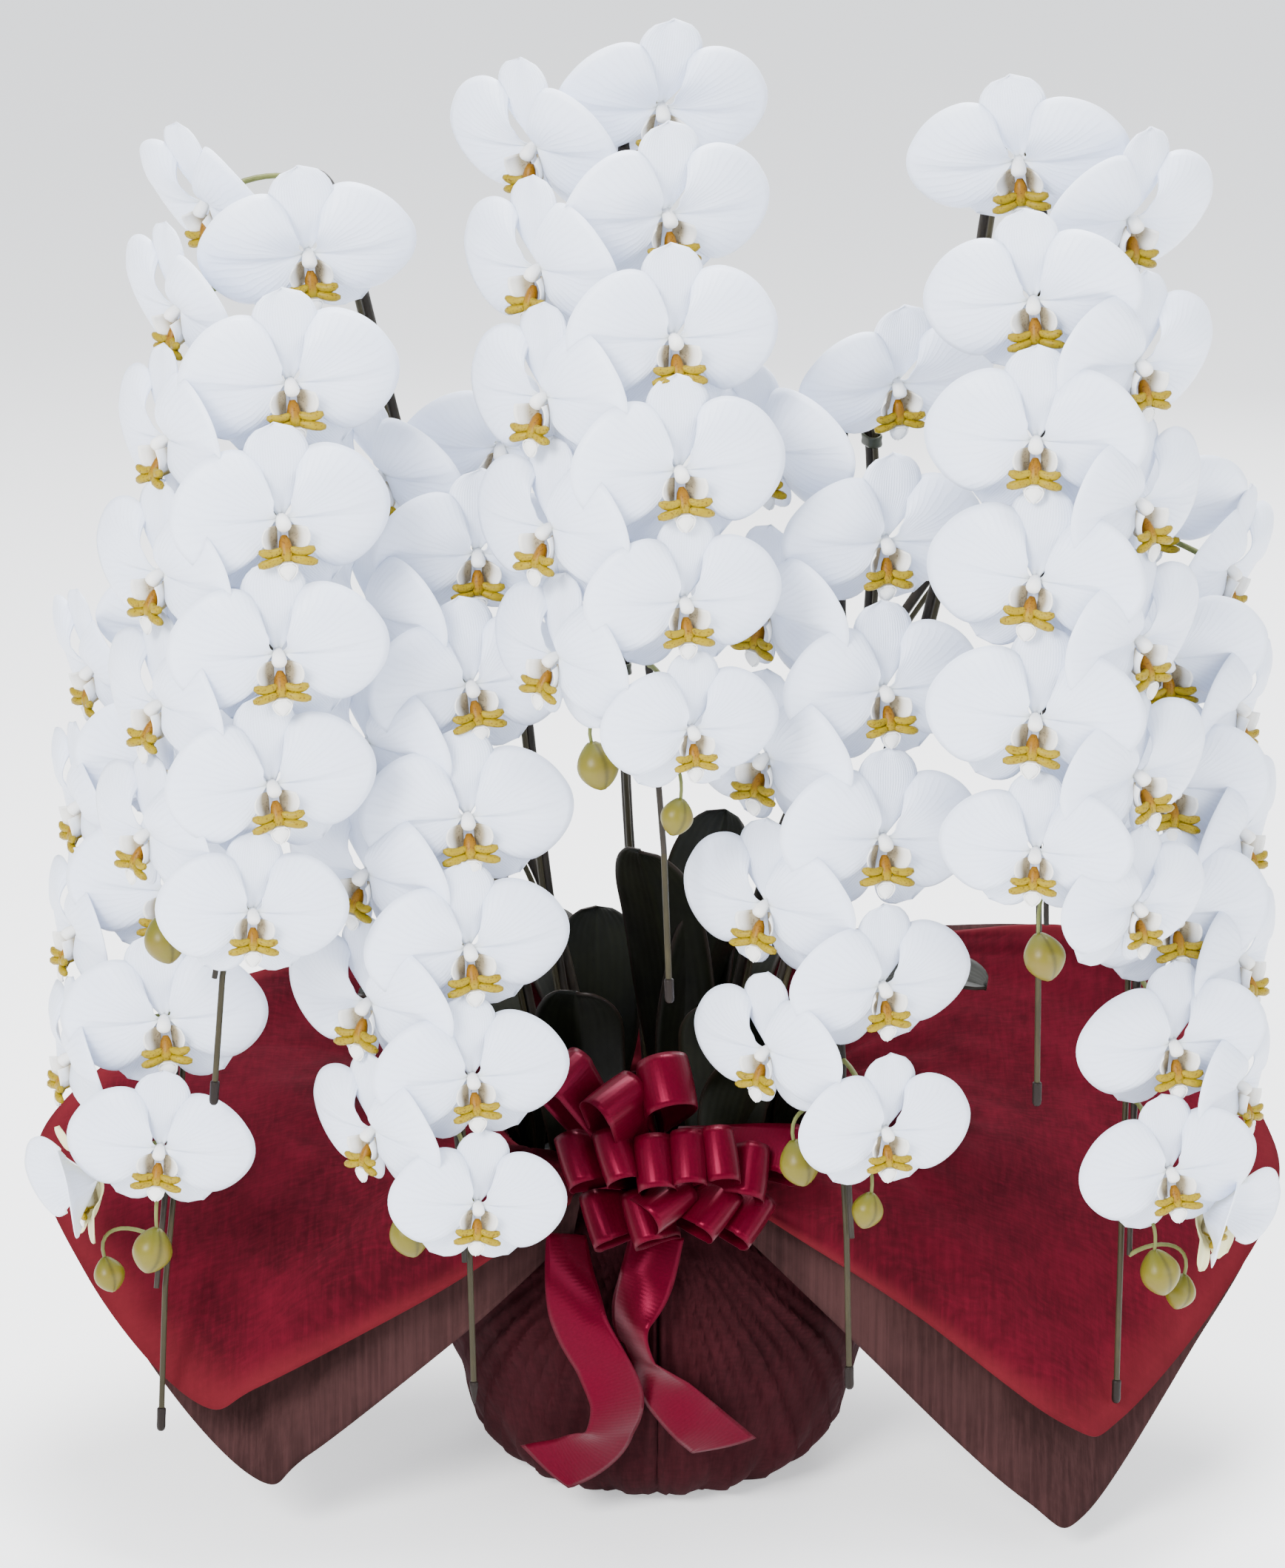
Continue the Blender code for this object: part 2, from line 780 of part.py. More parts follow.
def wire_foot(spike):
    """Where the wire enters the moss."""
    place = wire_place(spike, stem_path(spike), 0)
    return Vector((place.x, place.y, moss_height(place.x, place.y)))


def bloom_outline():
    """Half of a bloom's outline, from the top sepal's tip down to its lower edge, as (across, up)."""
    half, tall = BLOOM_SPAN / 2, BLOOM_HEIGHT / 2
    return (
        (0, 1.08 * tall),
        (0.30 * half, 0.88 * tall),
        (0.27 * half, 0.48 * tall),
        (0.70 * half, 0.74 * tall),
        (1.00 * half, 0.14 * tall),
        (0.70 * half, -0.64 * tall),
        (0, -0.90 * tall),
    )


def bloom_shell(place, face, size, surface):
    """A bloom as one closed star of petals, with its lip as the point in front."""
    side = Vector((-face.y, face.x, 0)).normalized()
    up = side.cross(face)
    half = bloom_outline()
    outline = [(-a, b) for a, b in half[::-1]][:-1] + list(half)[:-1]
    lip = place + (face * LIP_REACH - up * LIP_DROP) * size
    points = [lip, place - face * 0.5 * BLOOM_DEPTH]
    for across, rise in outline:
        back = 0.9 * BLOOM_DEPTH * abs(across) / BLOOM_SPAN
        points.append(place + (side * across + up * rise) * size - face * back)
    count = len(outline)
    faces = []
    for j in range(count):
        k = 2 + (j + 1) % count
        faces += [[0, 2 + j, k], [1, k, 2 + j]]
    return add_mesh("petals", points, faces, surface)


def pedicel(start, end, surface):
    """A thin stalk from inside the stem to the back of a bloom or bud."""
    out = (end - start).normalized()
    side = Vector((-out.y, out.x, 0)).normalized()
    return tube("pedicel", (start, end), side, (PEDICEL_RADIUS,) * 2, 3, surface)


def bloom_size(index):
    """Blooms get smaller towards the tip of the spike: index 0 is the last one."""
    return (0.88, 0.92, 0.96)[index] if index < 3 else 1.0


def bloom_face(spike, index):
    """The way a bloom looks: to its side of the spike, and nodding most at the crest."""
    side = spike.lowest * (1 if index % 2 == 0 else -1)
    from_crest = spike.blooms - 1 - index
    nod = radians(BLOOM_NOD + CREST_NOD * max(0, 1 - from_crest / CREST_BLOOMS))
    level = outward(GAZE_SHARE * (spike.turn + side * spike.fan))
    return level * cos(nod) - Vector((0, 0, sin(nod)))


def flower_shells(spike, path, petal, green):
    """The blooms, buds and stalks of one spike."""
    shells = []
    for index in range(spike.blooms):
        root = stem_point(path, path.length - spike.bare_tip - index * spike.pitch)
        side = spike.lowest * (1 if index % 2 == 0 else -1)
        level = outward(spike.turn + side * spike.fan)
        place = root + level * BLOOM_REACH - Vector((0, 0, BLOOM_DROP))
        face = bloom_face(spike, index)
        shells.append(bloom_shell(place, face, bloom_size(index), petal))
        shells.append(pedicel(root, place + face * 0.4 * BLOOM_DEPTH, green))
    for index in range(spike.buds):
        root = stem_point(path, path.length - spike.bare_tip + (index + 1) * BUD_PITCH)
        side = -spike.lowest * (1 if index % 2 == 0 else -1)
        size = BUD_SHRINK**index
        place = root + outward(spike.turn + side * spike.fan) * BUD_REACH * size
        place.z -= BUD_DROP
        shells.append(pedicel(root, place, green))
        shells.append(bud_shell(place, size, green))
    return shells


def bud_shell(place, size, green):
    """An egg-shaped bud that hangs from its stalk."""
    rings = []
    for share, width in ((0.1, 0.3), (-0.3, 0.66), (-0.65, 0.56), (-0.95, 0.12)):
        radius = width * BUD_LENGTH * size * 0.55
        middle = place + Vector((0, 0, share * BUD_LENGTH * size))
        rings.append([middle + radius * outward(72 * j) for j in range(5)])
    return add_mesh("bud", *sweep(rings), green)


def make_clip(name, stem, wire, surface):
    """An oval band round a stretch of the stem and its wire, each given by its two ends."""
    along = (stem[1] - stem[0]).normalized()
    middle = (stem[0] + stem[1]) / 2
    inner = (wire[0] + wire[1]) / 2 - middle
    inner -= along * inner.dot(along)
    side = along.cross(inner).normalized()
    rings = []
    for grow in (CLIP_SLACK, CLIP_SLACK + CLIP_WALL):
        for end in (-0.5, 0.5):
            ring = []
            for j in range(CLIP_SIDES):
                angle = 2 * pi * (j + 0.5) / CLIP_SIDES
                centre = middle + (inner if cos(angle) > 0 else Vector()) + along * end * CLIP_LENGTH
                radius = (STEM_RADIUS + grow) / cos(pi / CLIP_SIDES)
                ring.append(centre + radius * (inner.normalized() * cos(angle) + side * sin(angle)))
            rings.append(ring)
    order = (rings[0], rings[1], rings[3], rings[2])
    points = [p for ring in order for p in ring]
    faces = []
    for i in range(4):
        for j in range(CLIP_SIDES):
            k = (j + 1) % CLIP_SIDES
            low, high = CLIP_SIDES * i, CLIP_SIDES * ((i + 1) % 4)
            faces.append([low + j, low + k, high + k, high + j])
    add_mesh(name, points, faces, surface)


def make_spike(spike):
    petal = material("petal", PETAL_WHITE, 0.5)
    green = material("stem", STEM_GREEN, 0.55)
    path = stem_path(spike)
    side = arch_side(spike)
    places = path.stations(STEM_STATIONS)
    centres = [path.at(d) for d in places]
    radii = [STEM_RADIUS] * (STEM_STATIONS - 5)
    radii += [STEM_RADIUS + (STEM_TIP_RADIUS - STEM_RADIUS) * k / 6 for k in range(1, 7)]
    stem = tube("flower_spike_" + spike.name, centres, side, radii, STEM_SIDES, green)
    stem.data.materials.append(petal)
    flowers = join_shells("flowers_" + spike.name, flower_shells(spike, path, petal, green))
    boolean(stem, flowers, "UNION")

    wire = [wire_place(spike, path, d) for d in places]
    clip = material("clip", CLIP_GREEN, 0.4)
    for number, share in enumerate(CLIP_PLACES, 1):
        k = int(np.searchsorted(places, share * path.length))
        make_clip(f"spike_clip_{spike.name}_{number}", centres[k : k + 2], wire[k : k + 2], clip)
    foot = wire_foot(spike)
    down = (path.tangent(path.length) - Vector((0, 0, 1))).normalized()
    wire = [foot - Vector((0, 0, SOCKET_DEPTH)), foot] + wire + [wire[-1] + down * spike.wire_tail]
    coating = material("wire coating", WIRE_BROWN, 0.45)
    tube("support_wire_" + spike.name, wire, side, [WIRE_RADIUS] * len(wire), WIRE_SIDES, coating)
    relief = [WIRE_RADIUS + WIRE_RELIEF] * len(wire)
    space = tube("wire_space", wire, side, relief, WIRE_SIDES, coating)
    boolean(stem, join_shells("wire_space_" + spike.name, [space]), "DIFFERENCE")
    ends = [wire[-1] + down * CLEARANCE, wire[-1] + down * (CLEARANCE + CAP_LENGTH)]
    rubber = material("cap", CAP_BROWN, 0.5)
    tube("wire_cap_" + spike.name, ends, side, (CAP_RADIUS, CAP_RADIUS), 8, rubber)


# Leaves


def leaf_shell(crown, leaf, surface):
    """A strap leaf, narrow at the crown and widest past its middle, with a shallow trough."""
    level = outward(leaf.azimuth)
    side = Vector((-level.y, level.x, 0))
    place = crown.copy()
    rings = []
    for step in range(LEAF_STEPS + 1):
        share = step / LEAF_STEPS
        slope = radians(89 + (leaf.tip_slope - 89) * share**1.5)
        along = level * cos(slope) + Vector((0, 0, sin(slope)))
        above = along.cross(side).normalized()
        grown = LEAF_FOOT_SHARE + (1 - LEAF_FOOT_SHARE) * sin(min(share / 0.6, 1) * pi / 2) ** 1.5
        width = LEAF_WIDTH / 2 * grown
        if share > 0.8:
            width *= max(1 - ((share - 0.8) / 0.2) ** 2, 0.09) ** 0.5
        trough = above * LEAF_TROUGH * width
        under = place - above * LEAF_THICKNESS
        rings.append([place + side * width + trough, place, place - side * width + trough, under])
        place = place + along * leaf.length / LEAF_STEPS
    return add_mesh("leaf", *sweep(rings), surface)


def make_leaf_fan(spike):
    """A crown beside the stem's foot, with the plant's leaves growing from it."""
    surface = material("leaf", LEAF_GREEN, 0.35)
    out = sum((outward(leaf.azimuth) for leaf in spike.leaves), Vector()).normalized()
    crown = Vector(spike.route[0]) + out * CROWN_OFFSET
    crown.z = moss_height(crown.x, crown.y) + 0.5 * CROWN_RADIUS
    ends = [crown, crown + Vector((0, 0, CROWN_HEIGHT))]
    radii = (CROWN_RADIUS, 0.7 * CROWN_RADIUS)
    fan = tube("leaf_fan_" + spike.name, ends, Vector((1, 0, 0)), radii, 8, surface)
    leaves = []
    for number, leaf in enumerate(spike.leaves):
        root = crown + Vector((0, 0, 0.006 + 0.004 * number)) + outward(leaf.azimuth) * 0.002
        leaves.append(leaf_shell(root, leaf, surface))
    boolean(fan, join_shells("leaves_" + spike.name, leaves), "UNION")


def main():
    clear_scene()
    make_pot()
    make_moss()
    make_wrap()
    make_collars()
    ribbon = material("ribbon", RIBBON_RED, 0.35)
    make_tie(ribbon)
    make_bow(ribbon)
    make_tail("ribbon_tail_left", LEFT_TAIL, ribbon)
    make_tail("ribbon_tail_right", RIGHT_TAIL, ribbon)
    for spike in SPIKES:
        make_spike(spike)
        make_leaf_fan(spike)


main()
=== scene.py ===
"""A gift pot of white moth orchids: seven arching spikes, a wrapped pot, a flared collar and a satin bow.

Sizes are in metres. +Z is up, the blooms face -Y, and an azimuth turns from -Y towards +X.
"""

from math import atan2, cos, exp, pi, radians, sin, sqrt, tanh
from typing import NamedTuple

import bmesh
import bpy
import numpy as np
from bpy.props import FloatProperty, FloatVectorProperty, IntProperty, PointerProperty
from mathutils import Matrix, Vector


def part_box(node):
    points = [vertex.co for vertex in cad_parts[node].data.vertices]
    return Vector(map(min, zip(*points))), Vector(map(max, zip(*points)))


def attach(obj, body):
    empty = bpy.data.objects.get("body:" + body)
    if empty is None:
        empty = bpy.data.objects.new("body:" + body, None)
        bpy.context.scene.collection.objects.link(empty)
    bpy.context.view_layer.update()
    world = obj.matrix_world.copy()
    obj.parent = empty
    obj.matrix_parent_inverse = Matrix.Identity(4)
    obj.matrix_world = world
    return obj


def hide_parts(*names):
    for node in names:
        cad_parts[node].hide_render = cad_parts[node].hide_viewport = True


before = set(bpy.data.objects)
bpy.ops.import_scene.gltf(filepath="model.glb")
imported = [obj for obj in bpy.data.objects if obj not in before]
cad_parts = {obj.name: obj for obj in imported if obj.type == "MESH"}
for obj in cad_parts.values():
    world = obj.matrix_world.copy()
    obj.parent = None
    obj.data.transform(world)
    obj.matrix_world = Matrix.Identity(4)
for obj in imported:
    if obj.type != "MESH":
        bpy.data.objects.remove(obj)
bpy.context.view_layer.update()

bl_info = {
    "name": "Potted Orchid Looks",
    "version": (1, 0, 0),
    "blender": (4, 5, 0),
    "location": "3D View > Sidebar > Orchid",
    "description": "Dresses the potted orchid's solids with petals, leaves, cloth and ribbon",
    "category": "Add Mesh",
}

POT_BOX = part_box("ceramic_pot")
MOSS_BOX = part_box("growing_moss")

# Sizes that the solids share
POT_FLOOR = POT_BOX[0][2]
POT_TOP = POT_BOX[1][2]
POT_HEIGHT = POT_TOP - POT_FLOOR
POT_BASE_RADIUS = 0.064
POT_RIM_RADIUS = 0.112
POT_WALL = 0.007
MOSS_TOP = MOSS_BOX[1][2]
MOSS_DOME = 0.012
MOSS_EDGE = MOSS_TOP - MOSS_DOME
WRAP_BELLY_RADIUS = 0.131
WRAP_BELLY_HEIGHT = 0.100
WRAP_BASE_RADIUS = 0.070
NECK_RADIUS = 0.095
NECK_HEIGHT = 0.205
NECK_BAND = 0.016
TIE_HEIGHT = 0.013
COLLAR_SPACING = 0.0020
COLLAR_CLOTH = 0.0012
COLLAR_LIFT = 0.045
CLIP_PLACES = (0.2, 0.4)
CROWN_OFFSET = 0.022
CREST_BLOOMS = 4

# Petals are thinner here than in the solids
PETAL_THICKNESS = 0.0007

# How finely the pieces are divided
STEM_STEPS = 150
WIRE_STEPS = 120
LEAF_STEPS = 64
WRAP_COLUMNS = 320
WRAP_BASE_ROWS = 6
COLLAR_STEPS = 44
TAIL_STEPS = 60
BAND_STEPS = 160


class Leaf(NamedTuple):
    """One strap leaf: its azimuth, its length, and its slope in degrees at the tip."""

    azimuth: float
    length: float
    tip_slope: float


class Spike(NamedTuple):
    """A plant's own sizes: the points its stem grows through, how its blooms sit, and its leaves."""

    name: str
    route: tuple
    turn: float  # azimuth that the spike faces
    fan: float  # each row of blooms faces this far to its side of turn
    blooms: int
    pitch: float  # along the stem, from one bloom to the next
    bare_tip: float  # from the last bloom to the stem's tip
    lowest: int  # side of the last bloom: 1 is right, -1 is left
    buds: int
    wire_tail: float  # how far the wire hangs past the stem's tip
    leaves: tuple


SPIKES = (
    Spike(
        "left_tall",
        (
            (-0.056, 0.006, 0.180),
            (-0.110, 0.025, 0.440),
            (-0.163, 0.020, 0.680),
            (-0.188, -0.055, 0.804),
            (-0.205, -0.150, 0.792),
            (-0.215, -0.200, 0.675),
            (-0.222, -0.210, 0.535),
            (-0.250, -0.215, 0.380),
        ),
        turn=-25,
        fan=37,
        blooms=12,
        pitch=0.0365,
        bare_tip=0.080,
        lowest=1,
        buds=1,
        wire_tail=0.062,
        leaves=(Leaf(-80, 0.190, -10), Leaf(-128, 0.175, 0)),
    ),
    Spike(
        "left_low",
        (
            (-0.030, 0.055, 0.180),
            (-0.075, 0.080, 0.350),
            (-0.170, 0.080, 0.495),
            (-0.245, 0.010, 0.565),
            (-0.270, -0.050, 0.545),
            (-0.280, -0.090, 0.420),
            (-0.285, -0.134, 0.280),
            (-0.295, -0.162, 0.170),
        ),
        turn=-40,
        fan=38,
        blooms=10,
        pitch=0.0370,
        bare_tip=0.088,
        lowest=-1,
        buds=2,
        wire_tail=0.073,
        leaves=(Leaf(-145, 0.185, -5), Leaf(-178, 0.150, 58)),
    ),
    Spike(
        "left_inner",
        (
            (-0.036, -0.044, 0.180),
            (-0.065, -0.020, 0.360),
            (-0.085, -0.015, 0.540),
            (-0.100, -0.055, 0.665),
            (-0.113, -0.115, 0.655),
            (-0.120, -0.155, 0.500),
            (-0.118, -0.180, 0.340),
            (-0.112, -0.195, 0.200),
        ),
        turn=-17,
        fan=30,
        blooms=13,
        pitch=0.0368,
        bare_tip=0.078,
        lowest=1,
        buds=1,
        wire_tail=0.075,
        leaves=(Leaf(-47, 0.170, 12), Leaf(-5, 0.160, 64)),
    ),
    Spike(
        "centre",
        (
            (0.000, 0.000, 0.183),
            (-0.020, 0.020, 0.450),
            (-0.020, 0.020, 0.740),
            (-0.022, -0.055, 0.860),
            (-0.020, -0.140, 0.850),
            (-0.014, -0.200, 0.745),
            (-0.008, -0.215, 0.600),
            (0.003, -0.220, 0.455),
        ),
        turn=-15,
        fan=37,
        blooms=11,
        pitch=0.0352,
        bare_tip=0.108,
        lowest=1,
        buds=2,
        wire_tail=0.075,
        leaves=(Leaf(-22, 0.250, 52), Leaf(40, 0.210, 60), Leaf(150, 0.230, 58)),
    ),
    Spike(
        "right_inner",
        (
            (0.036, -0.044, 0.180),
            (0.085, -0.015, 0.350),
            (0.125, -0.015, 0.530),
            (0.120, -0.055, 0.698),
            (0.105, -0.120, 0.695),
            (0.103, -0.155, 0.530),
            (0.104, -0.180, 0.360),
            (0.112, -0.195, 0.215),
        ),
        turn=-12,
        fan=33,
        blooms=11,
        pitch=0.0415,
        bare_tip=0.106,
        lowest=1,
        buds=2,
        wire_tail=0.080,
        leaves=(Leaf(28, 0.180, 8), Leaf(-4, 0.150, 64)),
    ),
    Spike(
        "right_tall",
        (
            (0.056, 0.006, 0.180),
            (0.120, 0.030, 0.370),
            (0.172, 0.025, 0.570),
            (0.190, -0.005, 0.770),
            (0.200, -0.085, 0.855),
            (0.210, -0.175, 0.790),
            (0.213, -0.205, 0.600),
            (0.218, -0.210, 0.410),
        ),
        turn=20,
        fan=30,
        blooms=12,
        pitch=0.0375,
        bare_tip=0.045,
        lowest=1,
        buds=1,
        wire_tail=0.095,
        leaves=(Leaf(64, 0.235, -14), Leaf(54, 0.165, 8)),
    ),
    Spike(
        "right_low",
        (
            (0.030, 0.055, 0.180),
            (0.075, 0.080, 0.370),
            (0.170, 0.080, 0.545),
            (0.248, 0.005, 0.648),
            (0.268, -0.055, 0.630),
            (0.279, -0.095, 0.490),
            (0.280, -0.130, 0.330),
            (0.277, -0.160, 0.190),
        ),
        turn=42,
        fan=28,
        blooms=12,
        pitch=0.0368,
        bare_tip=0.055,
        lowest=1,
        buds=2,
        wire_tail=0.077,
        leaves=(Leaf(150, 0.190, -5), Leaf(-175, 0.160, 58)),
    ),
)

# The collar's outer edge on one side, from the front edge round to the back, as
# (azimuth of its foot on the neck, x, y, z). The sides differ, so each has its own.
RED_RIGHT = (
    (22, 0.052, -0.118, 0.205),
    (36, 0.150, -0.150, 0.150),
    (50, 0.240, -0.178, 0.090),
    (60, 0.275, -0.165, 0.088),
    (76, 0.345, -0.085, 0.135),
    (92, 0.387, 0.000, 0.187),
    (112, 0.345, 0.060, 0.255),
    (132, 0.285, 0.100, 0.304),
    (156, 0.146, 0.140, 0.292),
    (180, 0.000, 0.155, 0.262),
)
RED_LEFT = (
    (-22, -0.052, -0.118, 0.205),
    (-36, -0.140, -0.145, 0.155),
    (-50, -0.235, -0.168, 0.110),
    (-60, -0.277, -0.160, 0.098),
    (-76, -0.345, -0.085, 0.145),
    (-92, -0.386, 0.000, 0.201),
    (-112, -0.335, 0.060, 0.240),
    (-132, -0.268, 0.110, 0.272),
    (-156, -0.146, 0.140, 0.280),
    (-180, 0.000, 0.155, 0.262),
)
BROWN_RIGHT = (
    (22, 0.050, -0.116, 0.186),
    (36, 0.125, -0.132, 0.115),
    (50, 0.220, -0.162, 0.034),
    (60, 0.256, -0.158, 0.022),
    (76, 0.325, -0.080, 0.092),
    (92, 0.380, 0.004, 0.165),
    (112, 0.342, 0.066, 0.238),
    (132, 0.285, 0.110, 0.298),
    (156, 0.146, 0.152, 0.292),
    (180, 0.000, 0.168, 0.262),
)
BROWN_LEFT = (
    (-22, -0.050, -0.116, 0.186),
    (-36, -0.120, -0.130, 0.125),
    (-50, -0.205, -0.152, 0.060),
    (-60, -0.243, -0.152, 0.044),
    (-76, -0.320, -0.080, 0.105),
    (-92, -0.378, 0.004, 0.180),
    (-112, -0.332, 0.066, 0.226),
    (-132, -0.268, 0.120, 0.266),
    (-156, -0.146, 0.152, 0.280),
    (-180, 0.000, 0.168, 0.262),
)


class Loop(NamedTuple):
    """A bow loop: the middle of its outer face, the tilt of its axis from upright, and its half width."""

    x: float
    z: float
    front: float
    tilt: float
    half_width: float


BOW_LOOPS = (
    Loop(-0.060, 0.303, 0.028, 52, 0.011),
    Loop(-0.027, 0.296, 0.046, 62, 0.012),
    Loop(0.007, 0.302, 0.046, -14, 0.015),
    Loop(-0.054, 0.250, 0.044, -20, 0.010),
    Loop(-0.029, 0.258, 0.055, -18, 0.010),
    Loop(-0.003, 0.257, 0.060, -6, 0.011),
    Loop(0.020, 0.260, 0.060, -3, 0.010),
    Loop(0.041, 0.260, 0.055, -6, 0.010),
    Loop(0.062, 0.243, 0.044, 12, 0.010),
    Loop(0.086, 0.246, 0.026, 20, 0.010),
    Loop(-0.041, 0.212, 0.044, -22, 0.009),
    Loop(-0.014, 0.219, 0.055, -18, 0.010),
    Loop(0.011, 0.227, 0.060, 65, 0.010),
    Loop(0.040, 0.220, 0.055, 42, 0.009),
    Loop(0.061, 0.210, 0.044, 40, 0.009),
)
KNOT = Vector((0.003, -0.119, 0.232))
LOOP_LEAN = 0.80  # how far the loops' tops lean back, against their height

# Routes of the two tails' centre lines, from under the bow to the cut end
LEFT_TAIL = (
    (-0.054, -0.128, 0.190),
    (-0.051, -0.143, 0.164),
    (-0.045, -0.149, 0.140),
    (-0.031, -0.151, 0.113),
    (-0.024, -0.147, 0.089),
    (-0.031, -0.138, 0.063),
    (-0.050, -0.130, 0.046),
    (-0.068, -0.124, 0.038),
)
RIGHT_TAIL = (
    (0.000, -0.124, 0.190),
    (-0.007, -0.136, 0.164),
    (-0.016, -0.142, 0.141),
    (-0.012, -0.143, 0.122),
    (0.002, -0.142, 0.099),
    (0.020, -0.139, 0.077),
    (0.040, -0.128, 0.054),
)


# Curves and placing


def outward(azimuth):
    """The level unit vector at an azimuth in degrees."""
    return Vector((sin(radians(azimuth)), -cos(radians(azimuth)), 0))


def smooth_line(points, steps=12):
    """A smooth curve through points, as Catmull and Rom draw it."""
    given = np.array(points, float)
    ends = np.vstack([2 * given[0] - given[1], given, 2 * given[-1] - given[-2]])
    line = []
    for a, b, c, d in zip(ends, ends[1:], ends[2:], ends[3:]):
        for t in np.linspace(0, 1, steps, endpoint=False):
            bend = (2 * a - 5 * b + 4 * c - d) * t * t + (3 * b - a - 3 * c + d) * t**3
            line.append(0.5 * (2 * b + (c - a) * t + bend))
    line.append(given[-1])
    return np.array(line)


class Path:
    """A smooth curve that can be read at any distance from its start."""

    def __init__(self, points):
        self.line = smooth_line(points)
        steps = np.linalg.norm(np.diff(self.line, axis=0), axis=1)
        self.along = np.concatenate([[0], np.cumsum(steps)])
        self.length = self.along[-1]

    def at(self, distance):
        return Vector([np.interp(distance, self.along, self.line[:, k]) for k in range(3)])

    def tangent(self, distance, step=0.004):
        before = self.at(max(distance - step, 0))
        after = self.at(min(distance + step, self.length))
        return (after - before).normalized()


def bezier(a, b, c, d, count):
    """Points along a cubic curve from a to d, pulled towards b and c."""
    line = []
    for k in range(count):
        t = k / (count - 1)
        line.append(a * (1 - t) ** 3 + 3 * b * t * (1 - t) ** 2 + 3 * c * t * t * (1 - t) + d * t**3)
    return line


def facing(face):
    """The rotation that turns the front, -Y, to look along face and keeps Z as upright as it can."""
    back = -face.normalized()
    right = back.cross(Vector((0, 0, 1))).normalized()
    return Matrix((right, back, right.cross(back))).transposed()


def ramp(value, low, high):
    """0 below low, 1 above high, and smooth between."""
    share = min(max((value - low) / (high - low), 0), 1)
    return share * share * (3 - 2 * share)


# Meshes


class Shape:
    """Points, faces, a place on the pattern and a tint for each point, gathered for one mesh."""

    def __init__(self):
        self.points = []
        self.places = []
        self.tints = []
        self.faces = []

    def add(self, point, place=(0, 0), tint=(1, 1, 1)):
        self.points.append(tuple(point))
        self.places.append(tuple(place))
        self.tints.append((*tint, 1))
        return len(self.points) - 1

    def grid(self, rows, columns, point, place=None, tint=None, wrap=False):
        """A sheet of points. point, place and tint are each called with (row share, column share)."""
        first = len(self.points)
        across = columns if wrap else columns + 1
        for i in range(rows + 1):
            for j in range(across):
                u, v = i / rows, j / columns
                here = place(u, v) if place else (v, u)
                self.add(point(u, v), here, tint(u, v) if tint else (1, 1, 1))
        for i in range(rows):
            for j in range(columns):
                k = (j + 1) % across
                low, high = first + i * across, first + (i + 1) * across
                self.faces.append((low + j, low + k, high + k, high + j))
        return first

    def tube(self, centres, radii, sides, first_side, tint=None):
        """A closed round rod along centres, with a point at each end."""
        rings = []
        for i, centre in enumerate(centres):
            along = (centres[min(i + 1, len(centres) - 1)] - centres[max(i - 1, 0)]).normalized()
            side = (first_side - along * first_side.dot(along)).normalized()
            second = along.cross(side)
            share = i / (len(centres) - 1)
            ring = []
            for j in range(sides):
                turn = 2 * pi * j / sides
                place = centre + radii[i] * (cos(turn) * side + sin(turn) * second)
                ring.append(self.add(place, (j / sides, share), tint(share) if tint else (1, 1, 1)))
            rings.append(ring)
        for low, high in zip(rings, rings[1:]):
            for j in range(sides):
                k = (j + 1) % sides
                self.faces.append((low[j], low[k], high[k], high[j]))
        for ring, end in ((rings[0][::-1], 0), (rings[-1], -1)):
            share = 0 if end == 0 else 1
            tip = self.add(centres[end], (0.5, share), tint(share) if tint else (1, 1, 1))
            for j in range(sides):
                self.faces.append((ring[j], ring[(j + 1) % sides], tip))

    def object(self, name, materials=(), merge=0.0, outwards=False):
        """The gathered mesh as a smooth object, with the pattern's place as its UV map."""
        data = bpy.data.meshes.new(name)
        data.from_pydata(self.points, [], self.faces)
        corner_points = np.empty(len(data.loops), int)
        data.loops.foreach_get("vertex_index", corner_points)
        pattern = data.uv_layers.new(name="pattern")
        pattern.data.foreach_set("uv", np.array(self.places, np.float32)[corner_points].ravel())
        tints = data.color_attributes.new("tint", "FLOAT_COLOR", "POINT")
        tints.data.foreach_set("color", np.array(self.tints, np.float32).ravel())
        if merge or outwards:
            mended = bmesh.new()
            mended.from_mesh(data)
            if merge:
                bmesh.ops.remove_doubles(mended, verts=mended.verts, dist=merge)
            if outwards:
                bmesh.ops.recalc_face_normals(mended, faces=mended.faces)
            mended.to_mesh(data)
            mended.free()
        for surface in materials:
            data.materials.append(surface)
        data.shade_smooth()
        made = bpy.data.objects.new(name, data)
        bpy.context.scene.collection.objects.link(made)
        return made


def settled(made):
    """The same object with its modifiers' result as its plain mesh."""
    graph = bpy.context.evaluated_depsgraph_get()
    graph.update()
    result = bpy.data.meshes.new_from_object(
        made.evaluated_get(graph), preserve_all_data_layers=True, depsgraph=graph
    )
    made.modifiers.clear()
    old = made.data
    made.data = result
    bpy.data.meshes.remove(old)
    result.name = made.name
    return made


def thickened(made, thickness, offset=0.0):
    """Gives a sheet its thickness and leaves it as a plain closed mesh."""
    wall = made.modifiers.new("thickness", "SOLIDIFY")
    wall.thickness = thickness
    wall.offset = offset
    wall.use_quality_normals = True
    return settled(made)


def closed(made, merge=0.0):
    """Closes a shell's open ends and points its faces outwards."""
    shell = bmesh.new()
    shell.from_mesh(made.data)
    if merge:
        bmesh.ops.remove_doubles(shell, verts=shell.verts, dist=merge)
    bmesh.ops.holes_fill(shell, edges=[edge for edge in shell.edges if edge.is_boundary])
    bmesh.ops.recalc_face_normals(shell, faces=shell.faces)
    shell.to_mesh(made.data)
    shell.free()
    made.data.shade_smooth()
    return made


def placed(made, nodes):
    """Hangs a finished piece on the root body and hides the solids that it stands for."""
    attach(made, "root")
    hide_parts(*nodes)
    return made


# Geometry Nodes


